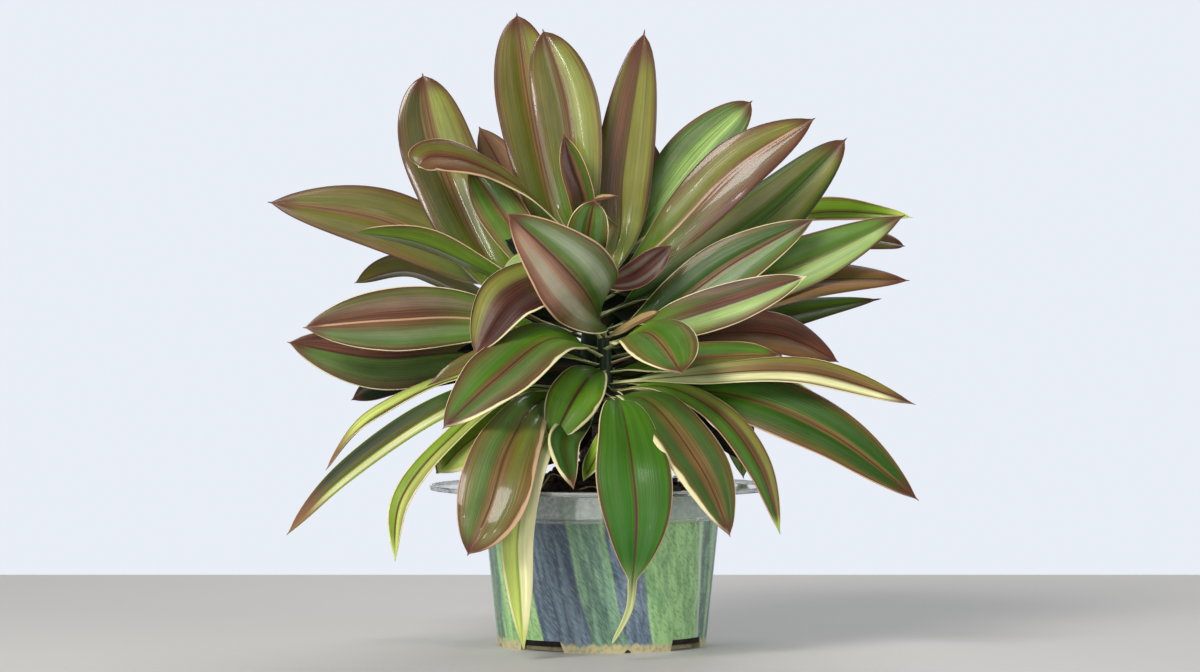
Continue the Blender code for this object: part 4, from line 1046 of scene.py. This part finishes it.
def make_mix(material):
    """Loose potting mix: the CAD mound with a broken surface and crumbs and bark bits on it."""
    low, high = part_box("potting_mix")
    edge = (high.x - low.x) / 2 / MM - MIX_INSET
    top = high.z / MM
    rings = []
    for ring in range(1, MIX_RINGS + 1):
        share = ring / MIX_RINGS
        rings.append([spot + UP * mound_height(spot, share, top) for spot in ring_spots(edge * share)])
    for height, share in (*MIX_WALL, (low.z / MM + MIX_FOOT_LIFT, MIX_FOOT_SHARE)):
        rings.append([spot + UP * height for spot in ring_spots(edge * share)])
    shape = bmesh.new()
    rows = [[shape.verts.new(point * MM) for point in ring] for ring in rings]
    for row, after in zip(rows, rows[1:]):
        for step in range(MIX_SIDES):
            following = (step + 1) % MIX_SIDES
            shape.faces.new((row[step], after[step], after[following], row[following]))
    shape.faces.new(rows[0])
    shape.faces.new(list(reversed(rows[-1])))
    add_crumbs(shape, edge, top)
    return finish_shape(shape, "loose_mix", material, smooth=True)


def add_crumbs(shape, edge, top):
    """Small uneven lumps, and flat bark bits, that lie on the mix."""
    pick = random.Random(CRUMB_SEED)
    for index in range(CRUMBS):
        share = math.sqrt(pick.random()) * CRUMB_REACH
        turn = pick.random() * math.tau
        spot = Vector((edge * share * math.cos(turn), edge * share * math.sin(turn), 0.0))
        size = pick.uniform(*CRUMB_SIZES)
        flat = 1.0 if index % BARK_EVERY else BARK_FLATNESS
        grown = bmesh.ops.create_icosphere(shape, subdivisions=2, radius=size * MM)
        lift = mound_height(spot, share, top) + size * flat * CRUMB_SINK
        spin = Matrix.Rotation(pick.random() * math.tau, 3, "Z")
        turned = spin @ Matrix.Rotation(pick.uniform(-CRUMB_TILT, CRUMB_TILT), 3, "X")
        for vert in grown["verts"]:
            swell = noise.noise(vert.co * CRUMB_NOISE + Vector((index, 0, 0))) * CRUMB_ROUGHNESS
            point = vert.co * (1.0 + swell)
            point = Vector((point.x * CRUMB_LENGTH, point.y, point.z * flat))
            vert.co = turned @ point + Vector((spot.x, spot.y, lift)) * MM


def finish_shape(shape, name, material, smooth):
    """The finished object of a shape, with smooth or flat shading."""
    mesh = bpy.data.meshes.new(name)
    shape.to_mesh(mesh)
    shape.free()
    if smooth:
        mesh.shade_smooth()
    return add_object(name, mesh, material)


def add_straw(shell, points):
    """A thin flattened straw along some points."""
    first = len(shell.points)
    points = [Vector(point) for point in points]
    for step in range(STRAW_STEPS + 1):
        at = step / STRAW_STEPS
        along = heading(points, at, STRAW_REACH)
        side = along.cross(UP).normalized()
        up = side.cross(along)
        full = math.sin(math.pi * min(max(at, STRAW_END), 1.0 - STRAW_END)) ** STRAW_TAPER
        size = STRAW_RADIUS * (STRAW_THINNEST + (1.0 - STRAW_THINNEST) * full)
        for turn in range(STRAW_SIDES):
            angle = math.tau * turn / STRAW_SIDES
            out = side * (size * math.cos(angle)) + up * (size * STRAW_FLATNESS * math.sin(angle))
            shell.points.append((spline_point(points, at) + out) * MM)
    shell.add_rings(first, STRAW_STEPS + 1, STRAW_SIDES)


def make_straws(material):
    """Bits of dry straw on the mix."""
    shell = Shell()
    for points in STRAWS:
        add_straw(shell, points)
    return shell.make("straw_bits", material)


def make_head(name, leaves, place, shoot, material, seed):
    """The fine blades and shoot of one leafy head."""
    pick = random.Random(seed)
    foliage = Foliage()
    foliage.add_shoot(place, *shoot)
    for leaf in leaves:
        foliage.add_leaf(leaf, place, pick.random())
    return foliage.make(name, material)


def make_table():
    """A plain pale table that ends behind the plant."""
    shape = bmesh.new()
    sizes = Matrix.Diagonal((*TABLE_SIZE, 1.0))
    bmesh.ops.create_cube(shape, size=1.0, matrix=Matrix.Translation(TABLE_MIDDLE) @ sizes)
    bmesh.ops.bevel(shape, geom=list(shape.edges), offset=TABLE_BEVEL, segments=3, affect="EDGES")
    table = finish_shape(shape, "table_top", table_material(), smooth=False)


def aim(name, data, place, target):
    """A camera or light at a place, turned to a point."""
    thing = bpy.data.objects.new(name, data)
    thing.location = place
    thing.rotation_euler = (Vector(target) - Vector(place)).to_track_quat("-Z", "Y").to_euler()
    bpy.context.scene.collection.objects.link(thing)
    return thing


def make_camera():
    """The camera at the photograph's angle."""
    data = bpy.data.cameras.new("camera")
    data.lens = CAMERA_LENS
    data.sensor_width = SENSOR_WIDTH
    bpy.context.scene.camera = aim("camera", data, CAMERA_PLACE, CAMERA_TARGET)


def make_light(name, place, height, size, power, colour=WHITE):
    """A soft light that looks at the plant at a height. Its size is its width and height in metres."""
    data = bpy.data.lights.new(name, "AREA")
    data.shape = "RECTANGLE"
    data.size, data.size_y = size
    data.energy = power
    data.color = colour
    aim(name, data, place, (0.0, 0.0, height))


def make_world():
    """Pale surroundings, brightest behind the plant at the horizon and dimmer overhead and in front."""
    world = bpy.data.worlds.new("studio")
    world.use_nodes = True
    graph = Graph(world.node_tree)
    _, y, z = graph.split(graph.place("Generated"))
    height_light = graph.smooth(z, HORIZON_TOP, SKY_FROM, HORIZON_LIGHT, SKY_LIGHT)
    front_light = graph.smooth(y, FRONT_FROM, BACK_FROM, FRONT_SHARE, 1.0)
    background = graph.tree.nodes["Background"]
    graph.plug(background.inputs["Color"], SKY_COLOUR)
    graph.plug(background.inputs["Strength"], graph.times(height_light, front_light))
    bpy.context.scene.world = world


def dress(node, material):
    """Gives a CAD node a better material."""
    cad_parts[node].data.materials.clear()
    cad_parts[node].data.materials.append(material)


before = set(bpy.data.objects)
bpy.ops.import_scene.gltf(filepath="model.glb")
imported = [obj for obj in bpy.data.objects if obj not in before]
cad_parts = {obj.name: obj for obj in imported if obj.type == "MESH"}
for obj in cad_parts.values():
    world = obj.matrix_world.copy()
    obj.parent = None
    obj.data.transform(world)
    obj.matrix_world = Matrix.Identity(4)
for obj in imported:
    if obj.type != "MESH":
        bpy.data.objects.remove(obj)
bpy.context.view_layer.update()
bpy.context.scene.view_settings.view_transform = "Standard"

make_camera()
make_world()
make_light("key", (-1.1, -1.5, 1.6), 0.2, (0.9, 1.0), 52.0, WARM)
make_light("glint", (-0.6, -1.9, 0.42), 0.25, (0.1, 0.15), 1.5, SLIGHTLY_WARM)
make_light("side_glint", (-1.15, -1.6, 0.45), 0.25, (0.1, 0.15), 1.5, SLIGHTLY_WARM)
make_light("fill", (1.6, -1.2, 0.7), 0.2, (1.2, 1.2), 11.0)
make_light("low", (-0.6, -1.8, 0.12), 0.1, (0.9, 0.5), 3.5, SLIGHTLY_WARM)
make_light("rim", (0.3, 1.4, 1.5), 0.2, (1.4, 0.5), 16.0)

ti_leaf = leaf_material()
tall = make_head("tall_foliage", TALL_LEAVES, TALL_CANE_PLACE, TALL_SHOOT, ti_leaf, TALL_SEED)
low = make_head("low_foliage", LOW_LEAVES, LOW_CANE_PLACE, LOW_SHOOT, ti_leaf, LOW_SEED)
loose_mix = make_mix(mix_material())
straws = make_straws(straw_material())
for piece, slot, nodes in (
    (tall, "leaves_tall", ("leaves_tall",)),
    (low, "leaves_low", ("leaves_low",)),
    (loose_mix, "potting_mix", ("potting_mix",)),
    (straws, "potting_mix", ()),
):
    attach(piece, "root")
    if nodes:
        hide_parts(*nodes)
dress("pot", pot_material())
dress("clear_collar", clear_material())
bark = bark_material()
dress("cane_low", bark)
dress("cane_tall", bark)
make_table()
